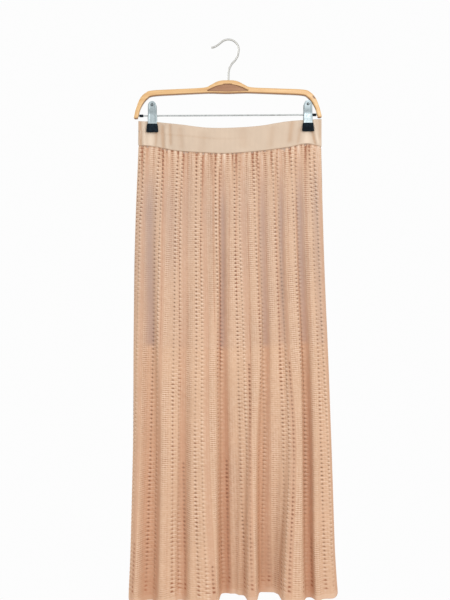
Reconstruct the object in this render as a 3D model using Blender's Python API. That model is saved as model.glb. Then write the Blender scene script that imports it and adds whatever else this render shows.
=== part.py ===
"""Maxi skirt of openwork knit with a short lining, hung by two clips from a wooden hanger.

The origin is the inside top of the hook, where the hanger hangs. +Z is up, the front of the
skirt faces -Y and +X is to the right as one looks at the front. Lengths are in metres.
"""

import math
from typing import NamedTuple

import bmesh
import bpy

# Gaps and cloth
GAP = 0.0003
KNIT_WALL = 0.0022
LINING_WALL = 0.0012
FRONT, BACK = -1, 1

# Hanger
WIRE_RADIUS = 0.002
HOOK_RADIUS = 0.0208
HOOK_CENTRE_Z = WIRE_RADIUS - HOOK_RADIUS
HOOK_ARC_END = math.radians(135)
HANGER_CENTRE_X = -0.0022
HANGER_TILT = math.radians(-0.35)
BAR_THICK = 0.012
STEM_DEPTH = 0.015
LENS_HALF_WIDTH = 0.0406
LENS_TOP_Z = -0.0882
LENS_BOTTOM_Z = -0.1026
LENS_DEPTH = 0.0018
LENS_CORNER = 0.0008
BAR_SQUARENESS = 0.45
BAR_SIDES = 12
STEM_BORE_TOP = -0.070
ROD_Z = -0.1498
ROD_RADIUS = 0.0016
ROD_HALF_LENGTH = 0.1815
CAP_RADIUS = 0.0028
CAP_LENGTH = 0.008
CAP_ROUNDING = 0.0007
CAP_OUTER_X = 0.1766

# Clips
CLIP_X = {"left": -0.1529, "right": 0.1579}
JAW_WALL = 0.0012
JAW_HOLE_RADIUS = 0.0017
JAW_HOLE_Z = 0.0205
JAW_HOLE_REACH = 0.005
SPRING_RADIUS = 0.0039
SPRING_HALF_LENGTH = 0.006
SPRING_TURNS = 6
SPRING_GROOVE = 0.0006
FOOT_HALF_WIDTH_TOP = 0.0108
FOOT_HALF_WIDTH_BOTTOM = 0.0123
FOOT_TOP = -0.0166
FOOT_BOTTOM = -0.0336
FOOT_OUTER_Y = 0.009
FOOT_BEVEL = 0.001

# Cloth between and under the clips, as half depths measured out from the middle plane
PINCHED_DEPTH = KNIT_WALL + GAP / 2
SIDE_BULGE = 0.0014
SEAM_DEPTH = 0.005
FRONT_BOW = 0.0078
BACK_BOW = 0.0056
BOW_AT_SEAM = 0.7
PINCH_REACH = 0.020
PINCH_FADE = 0.065
PINCH_FADE_AT_SIDE = 0.009
CLIPPED_PART = 0.47
HANG_DEPTH = 0.010
HANG_FADE = 0.2
GATHER_FADE = 0.03
HEM_DEPTH = 0.014
HEM_Z = -1.099
HEM_DROP = 0.10
LINING_HEM_Z = -0.620
LINING_CLEARANCE = 0.0012
LINING_SIDE_INSET = 0.004

# Grid of the cloth
FOLD_SIDE_COLUMNS = 3
SIDE_COLUMNS = 4
SKIRT_ROWS = 13
ROW_SPREAD = 1.3
BAND_ROWS = 4
LINING_ROWS = 8
LINING_KNOTS = 21
SIDE_SHARE = 0.022

# Heights of the fold table, as parts of the panel from the waist seam down to the hem
LEVELS = (0.0, 0.22, 0.44, 0.67, 1.0)


class Fold(NamedTuple):
    """One ridge or valley line: its place across the panel and how far it stands out, in mm."""

    across: tuple
    out: tuple


class BandEdge(NamedTuple):
    """Heights of the waistband's top edge and of the seam under it at one place across."""

    x: float
    top: float
    seam: float


class SideEdge(NamedTuple):
    """Left and right side of the skirt at one part of its length."""

    level: float
    left: float
    right: float


class BarStation(NamedTuple):
    """Outer and inner edge of the hanger's bar, for its right half."""

    outer_x: float
    outer_z: float
    inner_x: float
    inner_z: float


class JawStation(NamedTuple):
    """Height on a clip's jaw, its distance out, its half width and how high its side ridges stand."""

    z: float
    out: float
    half_width: float
    ridge: float


# Ridges and valleys of the front, from left to right, at the five levels
FRONT_FOLDS = (
    Fold((0.022, 0.037, 0.036, 0.035, 0.039), (2.5, 5, 10, 20, 38)),
    Fold((0.065, 0.084, 0.100, 0.105, 0.112), (0, 0, 0, 4, 16)),
    Fold((0.120, 0.137, 0.144, 0.165, 0.168), (3, 7, 13, 24, 40)),
    Fold((0.163, 0.187, 0.190, 0.195, 0.197), (0.8, 3, 10, 20, 34)),
    Fold((0.218, 0.237, 0.226, 0.220, 0.216), (3, 6, 10, 16, 28)),
    Fold((0.267, 0.284, 0.264, 0.250, 0.245), (0, 2, 2, 6, 20)),
    Fold((0.322, 0.342, 0.328, 0.315, 0.312), (3, 8, 15, 26, 44)),
    Fold((0.365, 0.389, 0.374, 0.360, 0.359), (0.8, 5, 13, 27, 50)),
    Fold((0.414, 0.432, 0.410, 0.405, 0.415), (3, 9, 17, 28, 50)),
    Fold((0.460, 0.468, 0.456, 0.455, 0.452), (0, 0, 0, 0, 0)),
    Fold((0.523, 0.526, 0.523, 0.510, 0.500), (3, 7, 9, 8, 6)),
    Fold((0.572, 0.579, 0.579, 0.555, 0.534), (0.8, 4, 10, 14, 14)),
    Fold((0.627, 0.629, 0.636, 0.595, 0.578), (3, 8, 15, 26, 46)),
    Fold((0.676, 0.676, 0.674, 0.645, 0.632), (0, 1, 1, 3, 0)),
    Fold((0.730, 0.732, 0.723, 0.705, 0.683), (3, 7, 8, 12, 0)),
    Fold((0.777, 0.774, 0.772, 0.760, 0.707), (0, 0, 3, 18, 6)),
    Fold((0.828, 0.832, 0.826, 0.825, 0.755), (3, 8, 16, 30, 50)),
    Fold((0.872, 0.874, 0.874, 0.860, 0.853), (0, 0, 1, 4, 16)),
    Fold((0.926, 0.926, 0.928, 0.915, 0.894), (3, 7, 12, 20, 32)),
    Fold((0.959, 0.958, 0.960, 0.948, 0.933), (0, 2, 4, 12, 24)),
    Fold((0.980, 0.980, 0.982, 0.976, 0.962), (2, 3, 5, 12, 24)),
)

BAND_EDGES = (
    BandEdge(-0.1808, -0.1618, -0.2104),
    BandEdge(-0.1468, -0.1636, -0.2132),
    BandEdge(-0.1048, -0.1682, -0.2216),
    BandEdge(-0.0488, -0.1758, -0.2258),
    BandEdge(-0.0008, -0.1766, -0.2272),
    BandEdge(0.0632, -0.1724, -0.2224),
    BandEdge(0.1192, -0.1626, -0.2146),
    BandEdge(0.1564, -0.1594, -0.2076),
    BandEdge(0.1866, -0.1578, -0.2132),
)

SIDE_EDGES = (
    SideEdge(0.0, -0.1808, 0.1866),
    SideEdge(0.22, -0.1880, 0.1912),
    SideEdge(0.44, -0.1905, 0.1990),
    SideEdge(0.67, -0.1915, 0.2070),
    SideEdge(0.90, -0.1935, 0.2130),
    SideEdge(1.0, -0.1950, 0.2165),
)

BAR_STATIONS = (
    BarStation(0.0000, -0.0798, 0.0000, -0.1070),
    BarStation(0.0120, -0.0802, 0.0120, -0.1068),
    BarStation(0.0220, -0.0828, 0.0220, -0.1064),
    BarStation(0.0340, -0.0892, 0.0340, -0.1061),
    BarStation(0.0480, -0.0944, 0.0460, -0.1062),
    BarStation(0.1000, -0.0970, 0.1000, -0.1085),
    BarStation(0.1500, -0.0994, 0.1480, -0.1112),
    BarStation(0.1640, -0.1040, 0.1600, -0.1166),
    BarStation(0.1750, -0.1150, 0.1690, -0.1270),
    BarStation(0.1826, -0.1330, 0.1752, -0.1390),
    BarStation(0.1862, -0.1460, 0.1772, -0.1470),
    BarStation(0.1878, -0.1535, 0.1790, -0.1535),
)

JAW_STATIONS = (
    JawStation(0.0276, 0.0096, 0.0040, 0.0),
    JawStation(0.0262, 0.0094, 0.0068, 0.0002),
    JawStation(0.0232, 0.0090, 0.0083, 0.0007),
    JawStation(0.0120, 0.0072, 0.0086, 0.0008),
    JawStation(0.0030, 0.0050, 0.0089, 0.0008),
    JawStation(-0.0030, 0.0048, 0.0091, 0.0008),
    JawStation(-0.0110, 0.0055, 0.0091, 0.0006),
    JawStation(-0.0160, 0.0061, 0.0091, 0.0),
    JawStation(-0.0290, 0.0061, 0.0091, 0.0),
)

# Places across a jaw, as parts of its half width, and which of them carry the ridge
JAW_ACROSS = ((-1.0, 0.0), (-0.86, 1.0), (-0.66, 0.0), (0.0, 0.0), (0.66, 0.0), (0.86, 1.0), (1.0, 0.0))


def smooth(value):
    """0 below 0, 1 above 1 and an even rise between."""
    value = min(1.0, max(0.0, value))
    return value * value * (3 - 2 * value)


def blend(start, end, part):
    return start + (end - start) * part


def through(places, values, at):
    """Smooth curve through values given at rising places, held flat past both ends."""
    if at <= places[0]:
        return values[0]
    if at >= places[-1]:
        return values[-1]
    i = max(k for k in range(len(places) - 1) if places[k] <= at)

    def slope(k):
        low, high = max(0, k - 1), min(len(places) - 1, k + 1)
        return (values[high] - values[low]) / (places[high] - places[low])

    span = places[i + 1] - places[i]
    t = (at - places[i]) / span
    first = (2 * t**3 - 3 * t**2 + 1) * values[i] + (t**3 - 2 * t**2 + t) * span * slope(i)
    return first + (3 * t**2 - 2 * t**3) * values[i + 1] + (t**3 - t**2) * span * slope(i + 1)


def column(table, name):
    return [getattr(row, name) for row in table]


def make_material(name, colour, roughness, metallic=0.0):
    material = bpy.data.materials.new(name)
    material.use_nodes = True
    shader = material.node_tree.nodes["Principled BSDF"]
    shader.inputs["Base Color"].default_value = (*colour, 1.0)
    shader.inputs["Roughness"].default_value = roughness
    shader.inputs["Metallic"].default_value = metallic
    material.diffuse_color = (*colour, 1.0)
    return material


def add_object(name, data, material):
    obj = bpy.data.objects.new(name, data)
    bpy.context.scene.collection.objects.link(obj)
    data.materials.append(material)
    return obj


def mesh_object(name, points, faces, material, smooth_angle=50):
    mesh = bpy.data.meshes.new(name)
    mesh.from_pydata(points, [], faces)
    work = bmesh.new()
    work.from_mesh(mesh)
    bmesh.ops.recalc_face_normals(work, faces=work.faces)
    work.to_mesh(mesh)
    work.free()
    mesh.shade_smooth()
    mesh.set_sharp_from_angle(angle=math.radians(smooth_angle))
    return add_object(name, mesh, material)


def wall(name, outer, inner, material):
    """Closed wall between an outer and an inner grid of points with the same rows and columns."""
    rows, columns = len(outer), len(outer[0])
    points = [p for row in outer for p in row] + [p for row in inner for p in row]
    back = rows * columns
    faces = []
    for r in range(rows - 1):
        for c in range(columns - 1):
            a, b = r * columns + c, r * columns + c + 1
            d, e = a + columns, b + columns
            faces.append((a, b, e, d))
            faces.append((back + a, back + d, back + e, back + b))
    rim = list(range(columns))
    rim += [r * columns + columns - 1 for r in range(1, rows)]
    rim += [(rows - 1) * columns + c for c in range(columns - 2, -1, -1)]
    rim += [r * columns for r in range(rows - 2, 0, -1)]
    for k, here in enumerate(rim):
        after = rim[(k + 1) % len(rim)]
        faces.append((here, back + here, back + after, after))
    return mesh_object(name, points, faces, material)


def loft(name, sections, material):
    """Closed solid through a row of sections with the same number of points each."""
    count = len(sections[0])
    points = [p for section in sections for p in section]
    faces = [tuple(range(count)), tuple(range(len(points) - 1, len(points) - 1 - count, -1))]
    for s in range(len(sections) - 1):
        for k in range(count):
            a, b = s * count + k, s * count + (k + 1) % count
            faces.append((a, b, b + count, a + count))
    return mesh_object(name, points, faces, material)


def ring_on_rod(name, profile, centre_x, material, steps=12):
    """Tube round the rod's axis, turned from a closed profile of places along it and radii."""
    count = len(profile)
    points = []
    faces = []
    for s in range(steps):
        angle = 2 * math.pi * s / steps
        for along, radius in profile:
            points.append((centre_x + along, radius * math.cos(angle), ROD_Z + radius * math.sin(angle)))
        for k in range(count):
            a, b = s * count + k, s * count + (k + 1) % count
            c, d = ((s + 1) % steps) * count + k, ((s + 1) % steps) * count + (k + 1) % count
            faces.append((a, b, d, c))
    return on_hanger(mesh_object(name, points, faces, material))


def on_hanger(obj):
    """Leans a piece with the hanger, which hangs a little higher at the right."""
    obj.rotation_euler = (0, HANGER_TILT, 0)
    return obj


def cutter(obj):
    obj.hide_render = True
    obj.display_type = "WIRE"
    return obj


def cut(obj, tool):
    modifier = obj.modifiers.new("cut " + tool.name, "BOOLEAN")
    modifier.operation = "DIFFERENCE"
    modifier.solver = "EXACT"
    modifier.object = cutter(tool)


def cylinder(name, radius, start, end, material, sides=12):
    """Cylinder from start to end, along one of the axes."""
    axis = max(range(3), key=lambda k: abs(end[k] - start[k]))
    first, second = [k for k in range(3) if k != axis]
    sections = []
    for base in (start, end):
        section = []
        for s in range(sides):
            point = list(base)
            point[first] += radius * math.cos(2 * math.pi * s / sides)
            point[second] += radius * math.sin(2 * math.pi * s / sides)
            section.append(tuple(point))
        sections.append(section)
    return loft(name, sections, material)


# Waistband, skirt and lining

def pinch(x):
    """0 where a clip presses the cloth and 1 well away from both clips."""
    near = min(abs(x - place) for place in CLIP_X.values())
    between = CLIP_X["left"] < x < CLIP_X["right"]
    return smooth((near - PINCH_REACH) / (PINCH_FADE if between else PINCH_FADE_AT_SIDE))


def band_depth(x, part, bow):
    """Half depth of the waistband at a place across, part of the way down from its top edge."""
    between = CLIP_X["left"] < x < CLIP_X["right"]
    pressed = PINCHED_DEPTH + pinch(x) * (bow if between else SIDE_BULGE)
    return blend(pressed, seam_depth(x, bow), smooth((part - CLIPPED_PART) / (1 - CLIPPED_PART)))


def seam_depth(x, bow):
    between = CLIP_X["left"] < x < CLIP_X["right"]
    return SEAM_DEPTH + (pinch(x) * bow * BOW_AT_SEAM if between else 0.0)


def section(left, right, knots, steps=1):
    """(x, out) from side seam to side seam, through knots, with quarter ellipses at the sides.

    Between two knots the section has as many steps as asked, on an even rise.
    """
    line = []
    first, last = knots[0], knots[-1]
    for k in range(SIDE_COLUMNS):
        turn = math.pi / 2 * k / SIDE_COLUMNS
        line.append((blend(first[0], left, math.cos(turn)), blend(GAP / 2, first[1], math.sin(turn))))
    for here, after in zip(knots, knots[1:]):
        for c in range(steps):
            share = c / steps
            rise = 0.5 - 0.5 * math.cos(math.pi * share)
            line.append((blend(here[0], after[0], share), blend(here[1], after[1], rise)))
    for k in range(SIDE_COLUMNS, -1, -1):
        turn = math.pi / 2 * k / SIDE_COLUMNS
        line.append((blend(last[0], right, math.cos(turn)), blend(GAP / 2, last[1], math.sin(turn))))
    return line


def set_in(line, distance):
    """Points of a section moved in by a wall's thickness, square to the section."""
    moved = []
    last = len(line) - 1
    for k, (x, out) in enumerate(line):
        if k == 0:
            moved.append((x + distance, out))
        elif k == last:
            moved.append((x - distance, out))
        else:
            along_x = line[k + 1][0] - line[k - 1][0]
            along_out = line[k + 1][1] - line[k - 1][1]
            length = math.hypot(along_x, along_out)
            moved_out = out - distance * along_x / length
            moved.append((x + distance * along_out / length, max(GAP / 2, moved_out)))
    return moved


def place(line, heights, facing):
    """Section points in space. facing is -1 for the front and 1 for the back."""
    return [(x, facing * out, z) for (x, out), z in zip(line, heights)]


def edge_height(x, name):
    return through(column(BAND_EDGES, "x"), column(BAND_EDGES, name), x)


def make_waistband(name, folds, facing, bow, material):
    edges = SIDE_EDGES[0]
    outer, inner = [], []
    for r in range(BAND_ROWS + 1):
        part = r / BAND_ROWS
        places = [blend(edges.left, edges.right, fold.across[0]) for fold in folds]
        knots = [(x, band_depth(x, part, bow)) for x in places]
        line = section(edges.left, edges.right, knots, FOLD_SIDE_COLUMNS)
        heights = []
        for x, _ in line:
            heights.append(blend(edge_height(x, "top"), edge_height(x, "seam") + GAP, part))
        outer.append(place(line, heights, facing))
        inner.append(place(set_in(line, KNIT_WALL), heights, facing))
    return wall(name, outer, inner, material)


def core_depth(x, part, bow):
    """Half depth of the skirt at the floor of its valleys."""
    hanging = blend(HANG_DEPTH, HEM_DEPTH, part)
    return blend(seam_depth(x, bow), hanging, smooth(part / HANG_FADE))


def fold_line(folds, part, bow):
    """(x, out) along one row of the skirt, from side seam to side seam."""
    levels = column(SIDE_EDGES, "level")
    left = through(levels, column(SIDE_EDGES, "left"), part)
    right = through(levels, column(SIDE_EDGES, "right"), part)
    gathered = smooth(part / GATHER_FADE)
    knots = []
    for fold in folds:
        x = blend(left, right, through(LEVELS, fold.across, part))
        raised = max(0.0, through(LEVELS, fold.out, part)) / 1000 * gathered
        knots.append((x, core_depth(x, part, bow) + raised))
    return section(left, right, knots, FOLD_SIDE_COLUMNS)


def make_skirt(name, folds, facing, bow, material):
    outer, inner = [], []
    for r in range(SKIRT_ROWS + 1):
        part = (r / SKIRT_ROWS) ** ROW_SPREAD
        line = fold_line(folds, part, bow)
        heights = []
        for x, out in line:
            hem = HEM_Z - HEM_DROP * (out - HEM_DEPTH)
            heights.append(blend(edge_height(x, "seam"), hem, part))
        outer.append(place(line, heights, facing))
        inner.append(place(set_in(line, KNIT_WALL), heights, facing))
    return wall(name, outer, inner, material)


def make_lining(name, facing, bow, material):
    levels = column(SIDE_EDGES, "level")
    whole = HEM_Z - edge_height(0, "seam")
    outer, inner = [], []
    for r in range(LINING_ROWS + 1):
        down = r / LINING_ROWS
        part = down * (LINING_HEM_Z - edge_height(0, "seam")) / whole
        freed = smooth(down * 4)
        inset = KNIT_WALL + 2 * GAP + LINING_CLEARANCE * freed
        inset_sides = inset + LINING_SIDE_INSET * freed
        left = through(levels, column(SIDE_EDGES, "left"), part) + inset_sides
        right = through(levels, column(SIDE_EDGES, "right"), part) - inset_sides
        knots = []
        for k in range(LINING_KNOTS):
            x = blend(left, right, blend(SIDE_SHARE, 1 - SIDE_SHARE, k / (LINING_KNOTS - 1)))
            knots.append((x, core_depth(x, part, bow) - inset))
        line = section(left, right, knots)
        heights = [blend(edge_height(x, "seam") - GAP, LINING_HEM_Z, down) for x, _ in line]
        outer.append(place(line, heights, facing))
        inner.append(place(set_in(line, LINING_WALL), heights, facing))
    return wall(name, outer, inner, material)


def turned_round(folds):
    """Folds of the back: the front's, seen from behind, with depths of their own."""
    back = []
    for k, fold in enumerate(reversed(folds)):
        depth = 0.86 + 0.14 * math.sin(1.9 * k + 0.6)
        out = tuple(value * depth for value in fold.out)
        back.append(Fold(tuple(1 - share for share in fold.across), out))
    return tuple(back)


# Hanger

def bar_section(station):
    """Points round the bar: a rounded oblong between its outer and inner edge."""
    middle_x = (station.outer_x + station.inner_x) / 2
    middle_z = (station.outer_z + station.inner_z) / 2
    reach_x = (station.outer_x - station.inner_x) / 2
    reach_z = (station.outer_z - station.inner_z) / 2
    points = []
    for k in range(BAR_SIDES):
        angle = 2 * math.pi * (k + 0.5) / BAR_SIDES
        side = math.copysign(abs(math.cos(angle)) ** BAR_SQUARENESS, math.cos(angle))
        edge = math.copysign(abs(math.sin(angle)) ** BAR_SQUARENESS, math.sin(angle))
        points.append((middle_x + reach_x * edge, BAR_THICK / 2 * side, middle_z + reach_z * edge))
    return points


def shrunk(points, factor, drop):
    """A section drawn in towards its middle and moved down, for a rounded end."""
    middle = [sum(point[k] for point in points) / len(points) for k in range(3)]
    smaller = []
    for point in points:
        x, y, z = [blend(middle[k], point[k], factor) for k in range(3)]
        smaller.append((x, y, z - drop))
    return smaller


def bar_stations():
    """The bar's stations with one more between each pair, on smooth curves."""
    places = list(range(len(BAR_STATIONS)))
    stations = []
    for k in range(2 * len(BAR_STATIONS) - 1):
        values = [through(places, column(BAR_STATIONS, name), k / 2) for name in BarStation._fields]
        stations.append(BarStation(*values))
    return stations


def make_bar(wood):
    half = [bar_section(station) for station in bar_stations()]
    half += [shrunk(half[-1], 0.86, 0.0018), shrunk(half[-1], 0.5, 0.003)]
    other_half = [[(-x, y, z) for x, y, z in points] for points in reversed(half[1:])]
    sections = []
    for points in other_half + half:
        sections.append([(x + HANGER_CENTRE_X, y, z) for x, y, z in points])
    bar = on_hanger(loft("hanger_bar", sections, wood))
    bore = WIRE_RADIUS + GAP
    stem_start = BAR_STATIONS[0].outer_z - STEM_DEPTH - GAP
    cut(bar, cylinder("cut_stem", bore, (0, 0, stem_start), (0, 0, STEM_BORE_TOP), wood))
    ends = [(HANGER_CENTRE_X + side * (ROD_HALF_LENGTH + GAP), 0, ROD_Z) for side in (-1, 1)]
    cut(bar, on_hanger(cylinder("cut_rod", ROD_RADIUS + GAP, *ends, wood)))
    cut(bar, lens_cutter("cut_lens_front", FRONT, wood))
    cut(bar, lens_cutter("cut_lens_back", BACK, wood))


def lens_cutter(name, facing, material):
    """Prism of the carved recess: an arched top over a nearly straight lower edge."""
    steps = 12
    arch = []
    for k in range(steps + 1):
        share = 2 * k / steps - 1
        z = blend(LENS_TOP_Z, LENS_BOTTOM_Z + LENS_CORNER, share * share)
        arch.append((HANGER_CENTRE_X + share * LENS_HALF_WIDTH, z))
    outline = arch + [(HANGER_CENTRE_X, LENS_BOTTOM_Z - LENS_CORNER)]
    near, far = facing * (BAR_THICK / 2 - LENS_DEPTH), facing * (BAR_THICK / 2 + LENS_DEPTH)
    sections = [[(x, y, z) for x, z in outline] for y in (near, far)]
    return on_hanger(loft(name, sections, material))


def hook_path():
    """Centre line of the wire: up the stem, round the right side and over the top to the tip."""
    stem = [
        (0.0, BAR_STATIONS[0].outer_z - STEM_DEPTH),
        (0.0, -0.0720),
        (0.0003, -0.0640),
        (0.0020, -0.0556),
        (0.0066, -0.0470),
        (0.0134, -0.0400),
        (0.0188, -0.0310),
    ]
    steps = 14
    arc = []
    for k in range(steps + 1):
        angle = HOOK_ARC_END * k / steps
        arc.append((HOOK_RADIUS * math.cos(angle), HOOK_CENTRE_Z + HOOK_RADIUS * math.sin(angle)))
    tip = [(-0.0198, -0.0082), (-0.0252, -0.0118), (-0.0300, -0.0138), (-0.0342, -0.0146)]
    return stem + arc + tip


def make_hook(steel):
    curve = bpy.data.curves.new("hanger_hook", "CURVE")
    curve.dimensions = "3D"
    curve.bevel_depth = WIRE_RADIUS
    curve.bevel_resolution = 3
    curve.use_fill_caps = True
    path = hook_path()
    spline = curve.splines.new("POLY")
    spline.points.add(len(path) - 1)
    for point, (x, z) in zip(spline.points, path):
        point.co = (x, 0, z, 1)
    spline.use_smooth = True
    return add_object("hanger_hook", curve, steel)


def make_rod(steel, black):
    ends = [(HANGER_CENTRE_X + side * ROD_HALF_LENGTH, 0, ROD_Z) for side in (-1, 1)]
    on_hanger(cylinder("hanger_rod", ROD_RADIUS, *ends, steel))
    bore = ROD_RADIUS + GAP
    profile = [
        (0, bore),
        (0, CAP_RADIUS - CAP_ROUNDING),
        (CAP_ROUNDING, CAP_RADIUS),
        (CAP_LENGTH, CAP_RADIUS),
        (CAP_LENGTH, bore),
    ]
    for side, word in ((-1, "left"), (1, "right")):
        along = [(-side * (CAP_LENGTH - step), radius) for step, radius in profile]
        along = along if side < 0 else along[::-1]
        outer = HANGER_CENTRE_X + side * CAP_OUTER_X
        ring_on_rod("rod_cap_" + word, along, outer, black)


# Clips

def make_jaw(name, centre_x, facing, steel):
    """Pressed jaw with a raised ridge along each side and a round hole near its top."""
    outer, inner = [], []
    for station in JAW_STATIONS:
        front, rear = [], []
        for share, ridge in JAW_ACROSS:
            x = centre_x + share * station.half_width
            z = ROD_Z + station.z
            lifted = station.out + ridge * station.ridge
            front.append((x, facing * (lifted + JAW_WALL / 2), z))
            rear.append((x, facing * (station.out - JAW_WALL / 2), z))
        outer.append(front)
        inner.append(rear)
    jaw = on_hanger(wall(name, outer, inner, steel))
    z = ROD_Z + JAW_HOLE_Z
    near, far = JAW_STATIONS[0].out - JAW_HOLE_REACH, JAW_STATIONS[0].out + JAW_HOLE_REACH
    ends = [(centre_x, facing * near, z), (centre_x, facing * far, z)]
    cut(jaw, on_hanger(cylinder("cut_hole_" + name, JAW_HOLE_RADIUS, *ends, steel)))


def block(name, centre_x, outs, facing, levels, material):
    """Block between two distances out, through (height, half width) at its bottom and its top."""
    near, far = sorted(facing * out for out in outs)
    sections = []
    for z, half in levels:
        left, right = centre_x - half, centre_x + half
        sections.append([(left, near, z), (right, near, z), (right, far, z), (left, far, z)])
    return on_hanger(loft(name, sections, material))


def make_foot(name, centre_x, facing, rubber):
    """Rubber foot over the end of a jaw, with the pocket that the jaw stands in."""
    outs = (PINCHED_DEPTH + GAP, FOOT_OUTER_Y)
    levels = [
        (ROD_Z + FOOT_BOTTOM, FOOT_HALF_WIDTH_BOTTOM),
        (ROD_Z + FOOT_TOP, FOOT_HALF_WIDTH_TOP),
    ]
    foot = block(name, centre_x, outs, facing, levels, rubber)
    bevel = foot.modifiers.new("rounded edges", "BEVEL")
    bevel.width = FOOT_BEVEL
    bevel.segments = 2
    end = JAW_STATIONS[-1]
    outs = (end.out - JAW_WALL / 2 - GAP, end.out + JAW_WALL / 2 + GAP)
    width = end.half_width + GAP
    levels = [(ROD_Z + end.z - GAP, width), (ROD_Z + FOOT_TOP + FOOT_BEVEL, width)]
    cut(foot, block("cut_pocket_" + name, centre_x, outs, facing, levels, rubber))


def make_spring(name, centre_x, steel):
    profile = [(-SPRING_HALF_LENGTH, ROD_RADIUS + GAP)]
    for k in range(2 * SPRING_TURNS + 1):
        along = SPRING_HALF_LENGTH * (k / SPRING_TURNS - 1)
        profile.append((along, SPRING_RADIUS if k % 2 else SPRING_RADIUS - SPRING_GROOVE))
    profile.append((SPRING_HALF_LENGTH, ROD_RADIUS + GAP))
    ring_on_rod(name, profile, centre_x, steel)


def make_clip(word, steel, rubber):
    centre_x = CLIP_X[word]
    make_spring(f"clip_{word}_spring", centre_x, steel)
    for facing, side in ((FRONT, "front"), (BACK, "back")):
        make_jaw(f"clip_{word}_{side}_jaw", centre_x, facing, steel)
        make_foot(f"clip_{word}_{side}_foot", centre_x, facing, rubber)


def main():
    for obj in list(bpy.data.objects):
        bpy.data.objects.remove(obj, do_unlink=True)
    knit = make_material("openwork_knit", (0.76, 0.50, 0.37), 0.85)
    rib = make_material("rib_knit", (0.80, 0.60, 0.45), 0.85)
    slip = make_material("lining_cloth", (0.56, 0.42, 0.36), 0.8)
    wood = make_material("bent_wood", (0.80, 0.46, 0.20), 0.45)
    steel = make_material("zinc_plated_steel", (0.62, 0.64, 0.64), 0.3, 1.0)
    wire = make_material("nickel_plated_wire", (0.66, 0.66, 0.65), 0.25, 1.0)
    rubber = make_material("black_rubber", (0.015, 0.02, 0.025), 0.6)

    back_folds = turned_round(FRONT_FOLDS)
    make_waistband("waistband_front", FRONT_FOLDS, FRONT, FRONT_BOW, rib)
    make_waistband("waistband_back", back_folds, BACK, BACK_BOW, rib)
    make_skirt("skirt_front", FRONT_FOLDS, FRONT, FRONT_BOW, knit)
    make_skirt("skirt_back", back_folds, BACK, BACK_BOW, knit)
    make_lining("lining_front", FRONT, FRONT_BOW, slip)
    make_lining("lining_back", BACK, BACK_BOW, slip)
    make_bar(wood)
    make_hook(wire)
    make_rod(steel, rubber)
    for word in CLIP_X:
        make_clip(word, steel, rubber)


main()
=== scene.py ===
"""Looks of a maxi skirt of openwork knit that hangs by two clips from a wooden hanger.

Lengths are in metres. The origin is the inside top of the hook, +Z is up, the front of the skirt
faces -Y and +X is to the right as one looks at the front.
"""

import logging
import math
from dataclasses import dataclass
from enum import Enum
from typing import NamedTuple

import bmesh
import bpy
import numpy as np
from bpy.types import Material, Node, NodeOutputs, NodeSocket, NodeTree, Object
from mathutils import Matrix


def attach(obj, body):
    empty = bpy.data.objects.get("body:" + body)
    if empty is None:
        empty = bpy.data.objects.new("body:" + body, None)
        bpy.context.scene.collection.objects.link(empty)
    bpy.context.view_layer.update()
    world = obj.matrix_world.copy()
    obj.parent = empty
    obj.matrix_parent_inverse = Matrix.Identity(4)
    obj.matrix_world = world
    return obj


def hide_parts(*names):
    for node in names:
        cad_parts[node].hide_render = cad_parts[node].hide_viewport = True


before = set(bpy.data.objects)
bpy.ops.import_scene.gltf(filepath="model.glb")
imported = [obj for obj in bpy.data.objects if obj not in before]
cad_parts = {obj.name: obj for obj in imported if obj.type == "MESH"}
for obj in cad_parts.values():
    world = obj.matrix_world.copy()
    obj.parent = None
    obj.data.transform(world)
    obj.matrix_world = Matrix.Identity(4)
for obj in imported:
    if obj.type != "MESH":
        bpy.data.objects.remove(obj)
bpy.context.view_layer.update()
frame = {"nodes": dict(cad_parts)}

log = logging.getLogger("maxi_skirt")

MM = 0.001
GAP = 0.3 * MM
KNIT_WALL = 2.2 * MM
CLIP_X = (-0.1529, 0.1579)
HEM_Z = -1.099
LINING_HEM_Z = -0.620
ROD_Z = -0.1498
HANGER_CENTRE_X = -0.0022
HANGER_TILT = math.radians(-0.35)


class Facing(Enum):
    """Which half of the tube of cloth a piece is, as the sign of its side along Y."""

    FRONT = -1.0
    BACK = 1.0


class Fold(NamedTuple):
    """One ridge or valley line: its place across the panel and how far it stands out, in mm.

    Its turn is the share of the way to the next line at which the cloth is halfway out or in, at the
    waist and at the hem.
    """

    across: tuple[float, ...]
    out: tuple[float, ...]
    turn: tuple[float, float] = (0.5, 0.5)


class BandEdge(NamedTuple):
    """Heights of the waistband's top edge and of the seam under it at one place across."""

    x: float
    top: float
    seam: float


class SideEdge(NamedTuple):
    """Left and right side of the skirt at one part of its length."""

    level: float
    left: float
    right: float


class BarStation(NamedTuple):
    """Outer and inner edge of the hanger's bar, for its right half."""

    outer_x: float
    outer_z: float
    inner_x: float
    inner_z: float


class JawStation(NamedTuple):
    """Height on a clip's jaw, its distance out, its half width and how high its side ridges stand."""

    z: float
    out: float
    half_width: float
    ridge: float


class Crease(NamedTuple):
    """One soft crease: its place across, its half width and its depth, both in mm, and its reach down."""

    x: float
    half_width: float
    depth: float
    reach: float


class BandCrease(NamedTuple):
    """One soft crease of the waistband, or a bulge if its depth is negative.

    Its place across, half width and depth, the last two in mm; the parts of the height where it
    starts and ends, and how far aside it goes from the top to the seam, in mm.
    """

    x: float
    half_width: float
    depth: float
    start: float
    end: float
    slant: float


class PleatLine(NamedTuple):
    """One narrow crease down the knit: its share across, half width and depth in mm, start and end."""

    across: float
    half_width: float
    depth: float
    start: float
    end: float


class HemLowering(NamedTuple):
    """How much lower than the level hem the front's hem hangs at one place across, in mm."""

    x: float
    lower: float


class ExtraEyelets(NamedTuple):
    """One more column of eyelets where the knit widens: its repeat and where it starts."""

    repeat: int
    start: float


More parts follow.
